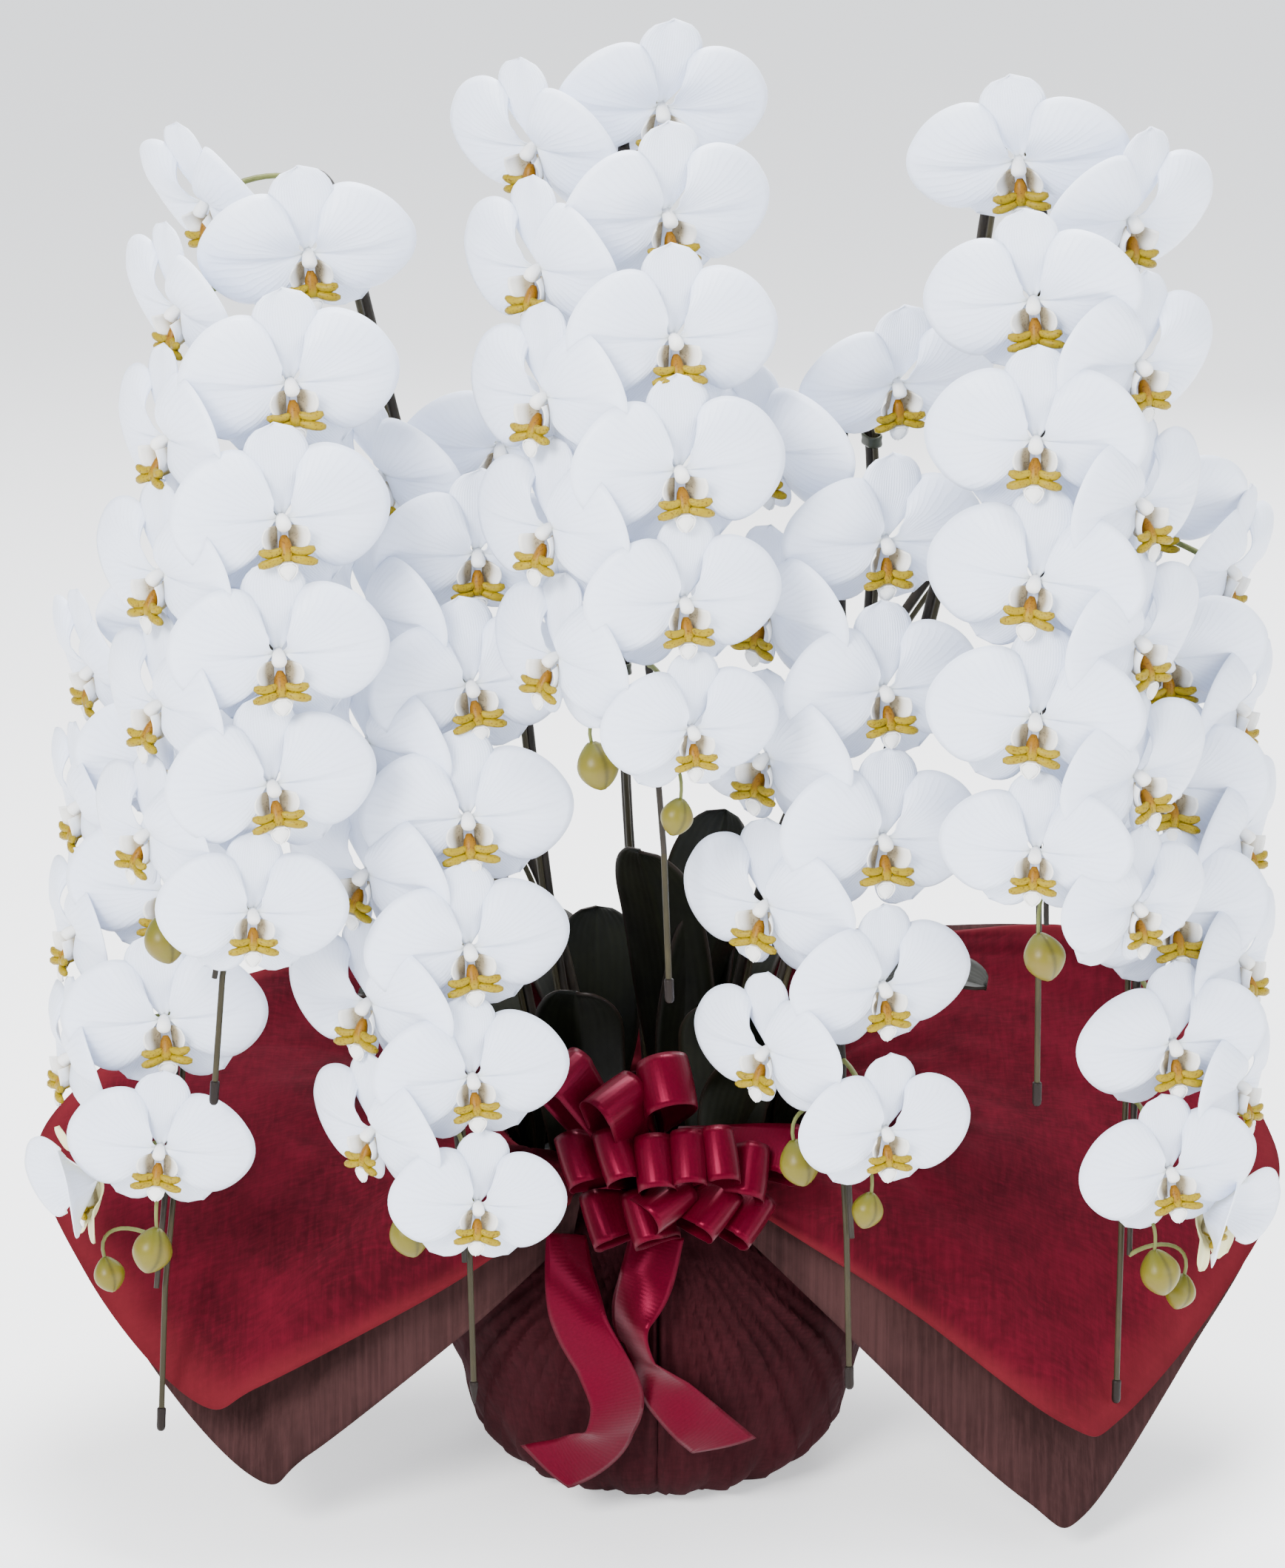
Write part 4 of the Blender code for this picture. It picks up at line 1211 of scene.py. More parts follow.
def pedicel_line(root, spot, radius):
    """A stalk that arches out of the stem and enters the back of its bloom."""
    back = spot.turn @ Vector((0, 1, 0))
    end = spot.place + back * 0.002
    out = (end - root).normalized()
    line = bezier(root, root + out * 0.02 + Vector((0, 0, 0.010)), end + back * 0.020, end, 11)
    return [(p, radius * (1.25 if k == 0 else 0.85 + 0.45 * k / 10)) for k, p in enumerate(line)]


BLOOM_PATTERNS = 4
HALF_OPEN = ("left_low", "right_low")
HALF_OPEN_REACH = 0.72


def bud_spots(spike, path, sizes):
    """(root on the stem, spot) for each bud past the last bloom."""
    spots = []
    for index in range(spike.buds):
        distance = min(path.length - spike.bare_tip + (index + 1) * sizes.bud_pitch, path.length)
        root = path.at(distance)
        side = -spike.lowest * (1 if index % 2 == 0 else -1)
        size = sizes.bud_shrink**index
        place = root + outward(spike.turn + side * spike.fan) * sizes.bud_reach * size
        place.z -= sizes.bud_drop
        lean = Matrix.Rotation(radians(14 * side), 3, "Y") @ Matrix.Rotation(radians(-10), 3, "X")
        spots.append((root, Spot(place, lean, size, 0)))
    return spots


def bud_pattern(name):
    """An egg-shaped bud that hangs from its stalk, with a seam ridge where each pair of sepals meets."""
    shape = Shape()

    def point(u, v):
        around = 2 * pi * v
        height = 0.0030 - 0.0270 * u
        girth = 0.0122 * (sin(pi * (0.035 + 0.955 * u)) ** 0.60) * (0.80 + 0.34 * u * (1.4 - u) ** 1.2)
        girth *= 1 + 0.050 * abs(cos(1.5 * around)) ** 2 - 0.075 * abs(sin(1.5 * around)) ** 14
        return Vector((girth * cos(around), girth * sin(around), height))

    shape.grid(18, 24, point, place=lambda u, v: (v, u), wrap=True)
    return closed(shape.object(name))


def bud_stalk(root, spot, radius):
    """A thin stalk that rises out of the stem and curls over into the top of the bud."""
    top = spot.place + spot.turn @ Vector((0, 0, 0.0025 * spot.size))
    out = Vector((top.x - root.x, top.y - root.y, 0)) * 0.5
    rise, over = root + out + Vector((0, 0, 0.014)), top + out * 0.35 + Vector((0, 0, 0.022))
    line = bezier(root, rise, over, top, 12)
    return [(p, radius * (1.1 - 0.3 * k / 11)) for k, p in enumerate(line)]


# Stems, wires, caps and clips


def stem_path(spike):
    """The stem's path, with its foot on the moss."""
    route = [Vector(p) for p in spike.route]
    route[0].z = moss_height(route[0].x, route[0].y) + SIZES().stem_radius
    return Path(route)


def arch_side(spike):
    """The level direction square to the arch."""
    out = (Vector(spike.route[-1]) - Vector(spike.route[0])).normalized()
    return Vector((-out.y, out.x, 0)).normalized()


def wire_gap(sizes):
    """From the middle of a stem to the middle of its wire."""
    return sizes.stem_radius + sizes.wire_radius + sizes.wire_spacing


def wire_place(spike, path, distance):
    """The wire's centre beside the stem, on the inner side of the arch."""
    inner = arch_side(spike).cross(path.tangent(distance)).normalized()
    sizes = SIZES()
    return path.at(distance) + inner * wire_gap(sizes)


def stem_line(path, sizes, roots):
    """The stem as (point, radius), thicker at each node where a stalk leaves it."""
    line = []
    for k in range(STEM_STEPS + 1):
        distance = path.length * k / STEM_STEPS
        radius = sizes.stem_radius * (1 - 0.5 * ramp(distance, 0.72 * path.length, path.length))
        near = min(abs(distance - root) for root in roots)
        radius *= 1 + 0.28 * exp(-((near / 0.0035) ** 2))
        line.append((path.at(distance), radius))
    return line


def cap_shape(name, start, down, sizes, pointed):
    """The wire's end cap: a soft rounded sleeve, or a long drawn-out point."""
    if pointed:
        steps = ((0, 0.70), (0.04, 0.95), (0.3, 0.85), (0.6, 0.58), (0.85, 0.3), (1, 0.1))
    else:
        steps = ((0, 0.80), (0.03, 0.97), (0.1, 1), (0.5, 0.97), (0.8, 1), (0.93, 0.86), (1, 0.55))
    shape = Shape()
    centres = [start + down * sizes.cap_length * share for share, _ in steps]
    shape.tube(centres, [sizes.cap_radius * wide for _, wide in steps], 20, Vector((1, 0, 0)))
    return shape.object(name, outwards=True)


def clip_pattern(name, sizes):
    """A small clip round a stem and its wire: an oval band with a raised rim and two finger tabs."""
    shape = Shape()
    gap = wire_gap(sizes)
    profile = (
        (-0.0033, 0.0),
        (-0.0033, 0.0010),
        (-0.0022, 0.0012),
        (0, 0.0008),
        (0.0022, 0.0012),
        (0.0033, 0.0010),
        (0.0033, 0.0),
        (0, -0.0001),
    )
    count = 32

    def point(u, v):
        turn = 2 * pi * v
        along, rise = profile[int(round(u * (len(profile) - 1)))]
        radius = sizes.stem_radius + 0.0005 + rise
        centre = gap if cos(turn) > 0 else 0
        return Vector((centre * 0.9 + radius * cos(turn), radius * sin(turn), along))

    first = shape.grid(len(profile) - 1, count, point, wrap=True)
    last = len(shape.points) - count
    for j in range(count):
        k = (j + 1) % count
        shape.faces.append((last + j, last + k, first + k, first + j))
    for side in (-1, 1):
        tab = [Vector((-0.0035 - 0.0016 * t, side * (0.0008 + 0.0012 * t), 0)) for t in (0, 0.5, 1)]
        shape.tube(tab, [0.0011, 0.0013, 0.0008], 8, Vector((0, 0, 1)))
    return shape.object(name, outwards=True)


# Leaves


def leaf_sheet(name, root, leaf, sizes, dice):
    """A strap leaf: narrow at the crown, folded along its midrib, with a round tip that droops."""
    level = outward(leaf.azimuth)
    side = Vector((-level.y, level.x, 0))
    spine = [root.copy()]
    slopes = []
    for k in range(LEAF_STEPS):
        share = (k + 0.5) / LEAF_STEPS
        slope = radians(89 + (leaf.tip_slope - 89) * share**1.5)
        slopes.append(slope)
        along = level * cos(slope) + Vector((0, 0, sin(slope)))
        spine.append(spine[-1] + along * leaf.length / LEAF_STEPS)
    slopes.append(slopes[-1])
    twist = dice.uniform(-0.16, 0.16)
    wave = dice.uniform(0, 6)
    shape = Shape()

    def point(u, v):
        k = round(u * LEAF_STEPS)
        slope = slopes[k]
        along = level * cos(slope) + Vector((0, 0, sin(slope)))
        above = along.cross(side).normalized()
        grown = sizes.leaf_foot + (1 - sizes.leaf_foot) * sin(min(u / 0.6, 1) * pi / 2) ** 1.5
        half = sizes.leaf_width / 2 * grown
        if u > 0.8:
            half *= max(1 - ((u - 0.8) / 0.2) ** 2, 0.0) ** 0.5
        across = 2 * v - 1
        lift = sizes.leaf_trough * half * (abs(across) ** 1.3) + 0.0012 * sin(9 * u + wave) * across * u
        turned = side * cos(twist * u) + above * sin(twist * u)
        return spine[k] + turned * half * across + above * (lift - 0.0010 * exp(-((across / 0.06) ** 2)))

    shape.grid(LEAF_STEPS, 14, point, place=lambda u, v: (v, u))
    return thickened(shape.object(name, merge=0.00002), sizes.leaf_thickness)


# Pot, moss and cloth


def pot_radius(height):
    """The pot's outer radius at a height above the ground."""
    share = (height - POT_FLOOR) / POT_HEIGHT
    return POT_BASE_RADIUS + (POT_RIM_RADIUS - POT_BASE_RADIUS) * share


def moss_height(x, y):
    """How high the moss reaches at a point."""
    edge = pot_radius(MOSS_EDGE) - POT_WALL
    return MOSS_EDGE + MOSS_DOME * (1 - min((x * x + y * y) / edge**2, 1))


def ripple(x, y, seed=0.0):
    """A smooth, uneven wave between -1 and 1 from a few sines."""
    return (
        sin(1.7 * x + 2.3 * y + seed)
        + 0.7 * sin(3.9 * x - 2.9 * y + 1.3 * seed)
        + 0.4 * sin(7.3 * x + 6.1 * y + 2.1 * seed)
    ) / 2.1


def moss_mound(name, surface):
    """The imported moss: a lumpy dome over a plain body inside the pot."""
    edge = pot_radius(MOSS_EDGE) - POT_WALL - 0.0008
    low = POT_FLOOR + POT_WALL + 0.0005
    shape = Shape()

    def point(u, v):
        turn = 2 * pi * v
        if u <= 0.8:
            share = u / 0.8
            x, y = edge * share * cos(turn), edge * share * sin(turn)
            lump = 0.0022 * ripple(95 * x, 95 * y) * (1 - share**6)
            return Vector((x, y, min(moss_height(x, y) + lump, MOSS_TOP + 0.004)))
        share = (u - 0.8) / 0.2
        radius = edge + (POT_BASE_RADIUS - POT_WALL - 0.0008 - edge) * share
        return Vector((radius * cos(turn), radius * sin(turn), MOSS_EDGE + (low - MOSS_EDGE) * share))

    shape.grid(45, 96, point, wrap=True)
    return closed(shape.object(name, [surface]), merge=0.00005)


def moss_curls(count, dice):
    """Short curled fibres that lie on the mound."""
    edge = pot_radius(MOSS_EDGE) - POT_WALL - 0.006
    lines = []
    for _ in range(count):
        radius, turn = edge * sqrt(dice.uniform(0, 1)), dice.uniform(0, 2 * pi)
        place = Vector((radius * cos(turn), radius * sin(turn), 0))
        way = dice.uniform(0, 2 * pi)
        bend = dice.uniform(-2.4, 2.4)
        length = dice.uniform(0.010, 0.026)
        line = []
        for k in range(7):
            share = k / 6
            heading = way + bend * share
            place = place + Vector((cos(heading), sin(heading), 0)) * length / 6
            hold = min(1, edge / max(place.xy.length, 1e-6))
            place.x, place.y = place.x * hold, place.y * hold
            arch = 0.0045 * sin(pi * share) * dice.uniform(0.5, 1)
            height = moss_height(place.x, place.y) + 0.0012 + arch
            line.append((Vector((place.x, place.y, height)), 0.0005 + 0.0004 * sin(pi * share)))
        lines.append(line)
    return lines


def wrap_profile():
    """The wrap's outer profile as a smooth line of (radius, height) from the base's edge to the neck."""
    base = [
        (0.70 * WRAP_BELLY_RADIUS, 0.06 * WRAP_BELLY_HEIGHT),
        (0.89 * WRAP_BELLY_RADIUS, 0.35 * WRAP_BELLY_HEIGHT),
        (WRAP_BELLY_RADIUS, WRAP_BELLY_HEIGHT),
        (0.985 * WRAP_BELLY_RADIUS, 1.35 * WRAP_BELLY_HEIGHT),
        (0.90 * WRAP_BELLY_RADIUS, 0.83 * NECK_HEIGHT),
        (NECK_RADIUS + 0.004, NECK_HEIGHT - 0.62 * NECK_BAND),
        (NECK_RADIUS, NECK_HEIGHT - 0.5 * NECK_BAND),
        (NECK_RADIUS, NECK_HEIGHT + 0.5 * NECK_BAND),
    ]
    return smooth_line([(WRAP_BASE_RADIUS, 0.0)] + base, 9)


def pleat(phase):
    """A knife pleat's height, 0 to 1: a slow rise over the fold and a quick drop under the next one."""
    share = phase % 1
    return share / 0.82 if share < 0.82 else 1 - ramp(share, 0.82, 1)


def wrap_fold(turn, height, pleats):
    """How far the cloth stands out at an azimuth and a height, in pleats that fan from the tie."""
    below = NECK_HEIGHT + 0.012 - height
    around = (turn + 180) % 360 - 180
    front = 1 - ramp(abs(around), 62, 100)
    reach = radians(around) * WRAP_BELLY_RADIUS
    fan = atan2(reach, below + 0.004)
    side = -1 if around < 0 else 1
    fanned = pleat(side * fan * pleats * 0.42 + 0.35 + 0.13 * sin(5 * fan))
    upright = pleat(side * radians(around) * pleats / 6.2 + 0.1 * sin(3 * radians(around)))
    grow = 0.0080 * ramp(below, 0.0, 0.055) * (1 - 0.55 * ramp(below, 0.08, 0.20))
    uneven = 0.75 + 0.25 * sin(2.1 * fan * pleats * 0.42 + 1.0)
    return grow * (front * fanned * uneven + (1 - front) * upright)


def wrap_sheet(name, surface, sizes):
    """The cloth gathered up round the pot and tied at the neck, with a scalloped lower edge."""
    profile = wrap_profile()
    rows = len(profile) - 1 + WRAP_BASE_ROWS
    shape = Shape()

    def point(u, v):
        k = round(u * rows)
        turn = 360 * v
        if k < WRAP_BASE_ROWS:
            return outward(turn) * (WRAP_BASE_RADIUS * k / WRAP_BASE_ROWS)
        radius, height = profile[k - WRAP_BASE_ROWS]
        out = wrap_fold(turn, height, sizes.wrap_pleats)
        low = 1 - ramp(height, 0.004, 0.055)
        scallop = 0.0070 * abs(sin(radians(turn) * 9.5 + 0.6 * sin(radians(2 * turn))))
        scallop *= low * ramp(height, -0.001, 0.006)
        sag = 0.0016 * ripple(radians(turn) * 3.1, height * 30, 1.0) * ramp(height, 0.01, 0.05)
        sag *= 1 - ramp(height, NECK_HEIGHT - 0.03, NECK_HEIGHT - 0.01)
        held = NECK_RADIUS if height > NECK_HEIGHT - 0.55 * NECK_BAND else 0
        gather = 0.0006 * sin(radians(turn) * 90) if held else 0
        tuck = 0.002 * (1 - ramp(height, 0.05, 0.15))
        return outward(turn) * (radius + out + scallop + sag + gather - tuck) + Vector((0, 0, height))

    shape.grid(rows, WRAP_COLUMNS, point, place=lambda u, v: (v * 0.82, u * 0.32))
    made = shape.object(name, [surface], merge=0.00004)
    return thickened(made, sizes.cloth_thickness, -1.0)


def collar_point(foot, edge, share, radius, top, lift):
    """A point of a collar sheet: over the tie and out to the sheet's edge."""
    level = outward(foot)
    start = level * radius + Vector((0, 0, top))
    out = edge - start
    bend = start + level * min(0.10, 0.35 * out.length)
    bend.z += min(lift, 0.35 * out.length)
    return start * (1 - share) ** 2 + bend * 2 * share * (1 - share) + edge * share**2


def collar_sheet(name, left, right, radius, top, lift, look, surface, sizes):
    """A sheet that stands up the neck, gathered, and flares out to its edge. It is open at the front."""
    outline = list(right) + list(left)[::-1][1:]
    turns = [row[0] if row[0] > 0 else row[0] + 360 for row in outline]
    edges = smooth_line([row[1:] for row in outline], 16)
    feet = np.interp(np.linspace(0, len(turns) - 1, len(edges)), range(len(turns)), turns)
    low = NECK_HEIGHT - 0.5 * TIE_HEIGHT
    folds, seed = look
    spots = []
    for foot, edge in zip(feet, edges):
        row = [outward(foot) * radius + Vector((0, 0, low))]
        for step in range(COLLAR_STEPS + 1):
            row.append(collar_point(foot, Vector(edge), step / COLLAR_STEPS, radius, top, lift))
        spots.append(row)
    lifted = []
    for i, row in enumerate(spots):
        new = []
        before, after = spots[max(i - 1, 0)], spots[min(i + 1, len(spots) - 1)]
        for j, place in enumerate(row):
            share = max(j - 1, 0) / COLLAR_STEPS
            along = row[min(j + 1, COLLAR_STEPS + 1)] - row[max(j - 1, 0)]
            across = after[j] - before[j]
            up = along.cross(across)
            up = up.normalized() * (-1 if up.z < 0 else 1) if up.length > 0 else Vector((0, 0, 1))
            turn = radians(feet[i])
            gathers = 0.0030 * sin(38 * turn + 1.5 * sin(5 * turn))
            gathers *= ramp(share, 0.0, 0.10) * (1 - ramp(share, 0.12, 0.62))
            creases = folds * (abs(sin(3.5 * turn + seed)) ** 0.7 - 0.5)
            creases *= ramp(share, 0.08, 0.5) * (1 - 0.55 * ramp(share, 0.8, 1))
            swell = 0.5 * folds * ripple(5.5 * share + seed, 3.1 * turn, seed) * ramp(share, 0.1, 0.4)
            hem = 0.0035 * ramp(share, 0.93, 1.0) * sin(9 * turn + seed)
            new.append(place + up * (gathers + creases + swell + hem))
        lifted.append(new)
    shape = Shape()
    rows, columns = len(lifted) - 1, COLLAR_STEPS + 1

    def point(u, v):
        return lifted[round(u * rows)][round(v * columns)]

    def place(u, v):
        spot = point(u, v)
        return (spot.x, spot.y)

    def tint(_, v):
        # The tint marks the rim for painted light, lighter where light comes through the edge
        rim = ramp(v, 0.90, 1.0)
        return (rim, rim, rim)

    shape.grid(rows, columns, point, place=place, tint=tint)
    return thickened(shape.object(name, [surface]), sizes.sheet_thickness)


# Ribbon


def distances(spine):
    """How far along a spine each of its points lies."""
    travelled = [0.0]
    for a, b in zip(spine, spine[1:]):
        travelled.append(travelled[-1] + (b - a).length)
    return travelled


def ribbon_sheet(shape, spine, sides, widths, crown):
    """A satin strip along a spine. sides gives the way across it, and crown how far its middle stands."""
    count = len(spine) - 1
    travelled = distances(spine)

    def point(u, v):
        k = round(u * count)
        along = (spine[min(k + 1, count)] - spine[max(k - 1, 0)]).normalized()
        across = 2 * v - 1
        face = sides[k].cross(along).normalized()
        return spine[k] + sides[k] * across * widths[k] / 2 + face * crown * (1 - across**2)

    def place(u, v):
        return (v, travelled[round(u * count)])

    shape.grid(count, 8, point, place=place)
    return travelled[-1]


def bow_loop(shape, loop, sizes, dice):
    """A loop of ribbon: out from the knot, round a wide bend and back. It gives the ribbon's length."""
    axis = Vector((sin(radians(loop.tilt)), LOOP_LEAN, cos(radians(loop.tilt)))).normalized()
    face = Vector((loop.x, KNOT.y - loop.front, loop.z))
    out = face - KNOT
    out -= axis * out.dot(axis)
    reach = out.length
    out.normalize()
    across = axis.cross(out).normalized()
    half = loop.half_width
    middle = face - out * half
    root = face - out * reach * 0.96
    spine = []
    for k in range(9):
        share = k / 8
        spread = half * sin(share * pi / 2) ** 0.8
        spine.append(root.lerp(middle, share) - across * spread)
    for k in range(1, 20):
        turn = pi * (k / 20 - 0.5)
        spine.append(middle + (out * cos(turn) + across * sin(turn)) * half)
    for k in range(9):
        share = 1 - k / 8
        spread = half * sin(share * pi / 2) ** 0.8
        spine.append(root.lerp(middle, share) + across * spread)
    lean = dice.uniform(-0.10, 0.10)
    count = len(spine)
    sides = []
    widths = []
    for k in range(count):
        share = abs(2 * k / (count - 1) - 1)
        sides.append((axis + across * lean * (1 - share)).normalized())
        widths.append(sizes.ribbon_width * (1 - 0.50 * ramp(share, 0.45, 1)))
    return ribbon_sheet(shape, spine, sides, widths, -0.0007)


def tail_sheet(name, route, twists, cut, sizes, surface):
    """A tail that falls down the front of the wrap and twists, with a slanting cut end."""
    path = Path(route)
    spine, sides = [], []
    for k in range(TAIL_STEPS + 1):
        share = k / TAIL_STEPS
        place = path.at(path.length * share)
        along = path.tangent(path.length * share)
        away = Vector((0.35 * place.x / 0.1, -1, 0)).normalized()
        side = along.cross(away).normalized()
        face = side.cross(along).normalized()
        twist = radians(np.interp(share * (len(twists) - 1), range(len(twists)), twists))
        spine.append(place + face * 0.0012)
        sides.append((side * cos(twist) + face * sin(twist)).normalized())
    shape = Shape()
    travelled = distances(spine)

    def point(u, v):
        k = round(u * TAIL_STEPS)
        along = (spine[min(k + 1, TAIL_STEPS)] - spine[max(k - 1, 0)]).normalized()
        across = 2 * v - 1
        face = sides[k].cross(along).normalized()
        bow = 0.0016 * (1 - across**2) + 0.0008 * sin(9 * u + 2 * across)
        slant = along * cut * across * ramp(u, 0.90, 1.0)
        return spine[k] + sides[k] * across * sizes.ribbon_width / 2 + face * bow + slant

    shape.grid(TAIL_STEPS, 10, point, place=lambda u, v: (v, travelled[round(u * TAIL_STEPS)]))
    return thickened(shape.object(name, [surface]), sizes.ribbon_thickness), travelled[-1]


# Sizes and colours that a user would change


def length_property(name, description, default):
    return FloatProperty(name=name, description=description, default=default, min=0, unit="LENGTH")


def number_property(name, description, default):
    return FloatProperty(name=name, description=description, default=default)


class OrchidSizes(bpy.types.PropertyGroup):
    """The plant's, the wires' and the ribbon's own sizes."""

    bloom_reach: length_property("Bloom reach", "From the stem to a bloom's middle", 0.060)
    bloom_drop: length_property("Bloom drop", "How far a bloom hangs below its stalk's root", 0.022)
    bloom_nod: number_property("Bloom nod", "How far a bloom looks down, in degrees", 8.0)
    crest_nod: number_property("Crest nod", "How much more the first blooms look down, in degrees", 22.0)
    bud_reach: length_property("Bud reach", "From the stem to a bud", 0.042)
    bud_drop: length_property("Bud drop", "How far a bud hangs", 0.010)
    bud_pitch: length_property("Bud pitch", "Along the stem, from bud to bud", 0.030)
    bud_shrink: number_property("Bud shrink", "Each bud's size against the last", 0.78)
    stalk_radius: length_property("Stalk radius", "A bloom stalk's radius", 0.0016)
    stem_radius: length_property("Stem radius", "A spike's stem radius", 0.0032)
    wire_radius: length_property("Wire radius", "The coated wire's radius", 0.00175)
    wire_spacing: length_property("Wire spacing", "Air between a stem and its wire", 0.0012)
    cap_radius: length_property("Cap radius", "A wire cap's radius", 0.0027)
    cap_length: length_property("Cap length", "A wire cap's length", 0.014)
    leaf_width: length_property("Leaf width", "Across a leaf at its widest", 0.054)
    leaf_foot: number_property("Leaf foot", "A leaf's width at the crown, as a share", 0.34)
    leaf_trough: number_property("Leaf trough", "How far a leaf's sides lift", 0.2)
    leaf_thickness: length_property("Leaf thickness", "A leaf's thickness", 0.0020)
    moss_fibres: IntProperty(name="Moss fibres", description="Loose fibres on the moss", default=620, min=0)
    wrap_pleats: number_property("Wrap pleats", "Pleats round the wrap", 30.0)
    cloth_thickness: length_property("Wrap cloth", "The wrap's thickness", 0.0009)
    sheet_thickness: length_property("Collar cloth", "A collar sheet's thickness", 0.0009)
    ribbon_width: length_property("Ribbon width", "Across the ribbon", 0.033)
    ribbon_thickness: length_property("Ribbon thickness", "The satin's thickness", 0.0004)


def colour(name, description, default):
    kind = {"subtype": "COLOR", "min": 0, "max": 1}
    return FloatVectorProperty(name=name, description=description, default=default, **kind)


class OrchidColours(bpy.types.PropertyGroup):
    """The object's colours, as linear red, green and blue. The leaf colours hold painted shade, and the red
    rim painted light.
    """

    petal: colour("Petal", "White of the petals", (0.75, 0.82, 0.97))
    petal_vein: colour("Petal vein", "Fine veins in the petals", (0.60, 0.64, 0.78))
    stalk: colour("Stalk", "Bloom stalks", (0.110, 0.120, 0.034))
    stem: colour("Stem", "Flower stems", (0.0110, 0.0085, 0.0060))
    bud: colour("Bud", "Closed buds", (0.112, 0.094, 0.0030))
    # Painted shade: both leaf colours are near-black, for the shade deep among the plants
    leaf: colour("Leaf", "Leaves in shade", (0.0026, 0.0030, 0.0016))
    leaf_light: colour("Leaf light", "Leaves in light", (0.0066, 0.0074, 0.0032))
    wire: colour("Wire", "Coating of the wires", (0.022, 0.018, 0.0075))
    wrap: colour("Wrap", "Cloth round the pot", (0.0190, 0.0032, 0.0046))
    red_sheet: colour("Red sheet", "The inner collar sheet", (0.050, 0.0018, 0.0060))
    red_lit_rim: colour("Red rim", "The inner sheet's edge, where light comes through", (0.095, 0.0085, 0.0125))
    brown_sheet: colour("Brown sheet", "The outer collar sheet", (0.028, 0.0118, 0.0116))
    ribbon: colour("Ribbon", "The satin ribbon", (0.056, 0.0004, 0.0058))


def SIZES():
    return bpy.context.scene.orchid_sizes


def COLOURS():
    return bpy.context.scene.orchid_colours


# Operators


class ORCHID_OT_stage(bpy.types.Operator):
    """Make the pale floor, the soft lights and the camera"""

    bl_idname = "orchid.stage"
    bl_label = "Stage"

    def execute(self, context):
        floor = Shape()
        floor.grid(24, 24, lambda u, v: Vector((90 * (v - 0.5), 90 * (u - 0.5), -0.0004)))
        finish = Finish("pale floor", Roughness=0.85, Emission_Strength=0.55)
        finish.shader.inputs["Emission Color"].default_value = (0.97, 0.98, 1.0, 1)
        grain = finish.noise(3.0, 3.0)
        finish.feed("Base Color", finish.mix(grain * 0.3, (0.93, 0.93, 0.93), (0.91, 0.91, 0.915)))
        floor.object("floor", [finish.material])

        world = bpy.data.worlds.new("studio air")
        world.use_nodes = True
        world.node_tree.nodes["Background"].inputs["Color"].default_value = (0.93, 0.96, 1.0, 1)
        world.node_tree.nodes["Background"].inputs["Strength"].default_value = 1.25
        bpy.context.scene.world = world
        for name, place, size, power, tone in (
            ("key", (-1.5, -2.6, 2.3), 1.4, 205, (1.0, 0.99, 0.98)),
            ("fill", (2.4, -1.9, 1.3), 2.2, 60, (0.95, 0.97, 1.0)),
            ("top", (0.2, 0.3, 2.9), 1.8, 165, (1.0, 1.0, 1.0)),
            ("back", (0.8, 2.8, 1.7), 2.0, 50, (0.98, 0.98, 1.0)),
        ):
            self.light(name, place, size, power, tone)

        lens = bpy.data.cameras.new("camera")
        lens.sensor_fit = "VERTICAL"
        lens.sensor_height = 24
        half_view = 0.9531 / 2
        distance = 2.6
        lens.lens = lens.sensor_height / 2 * distance / half_view
        target, rise = Vector((-0.009, 0, 0.432)), radians(16)
        camera = bpy.data.objects.new("camera", lens)
        camera.location = target + distance * Vector((0, -cos(rise), sin(rise)))
        camera.rotation_euler = (pi / 2 - rise, 0, 0)
        bpy.context.scene.collection.objects.link(camera)
        bpy.context.scene.camera = camera
        return {"FINISHED"}

    def light(self, name, place, size, power, tone):
        lamp = bpy.data.lights.new(name, "AREA")
        lamp.shape = "DISK"
        lamp.size = size
        lamp.energy = power
        lamp.color = tone
        made = bpy.data.objects.new(name, lamp)
        made.location = place
        aim = Vector((0, 0, 0.4)) - Vector(place)
        made.rotation_euler = aim.to_track_quat("-Z", "Y").to_euler()
        bpy.context.scene.collection.objects.link(made)


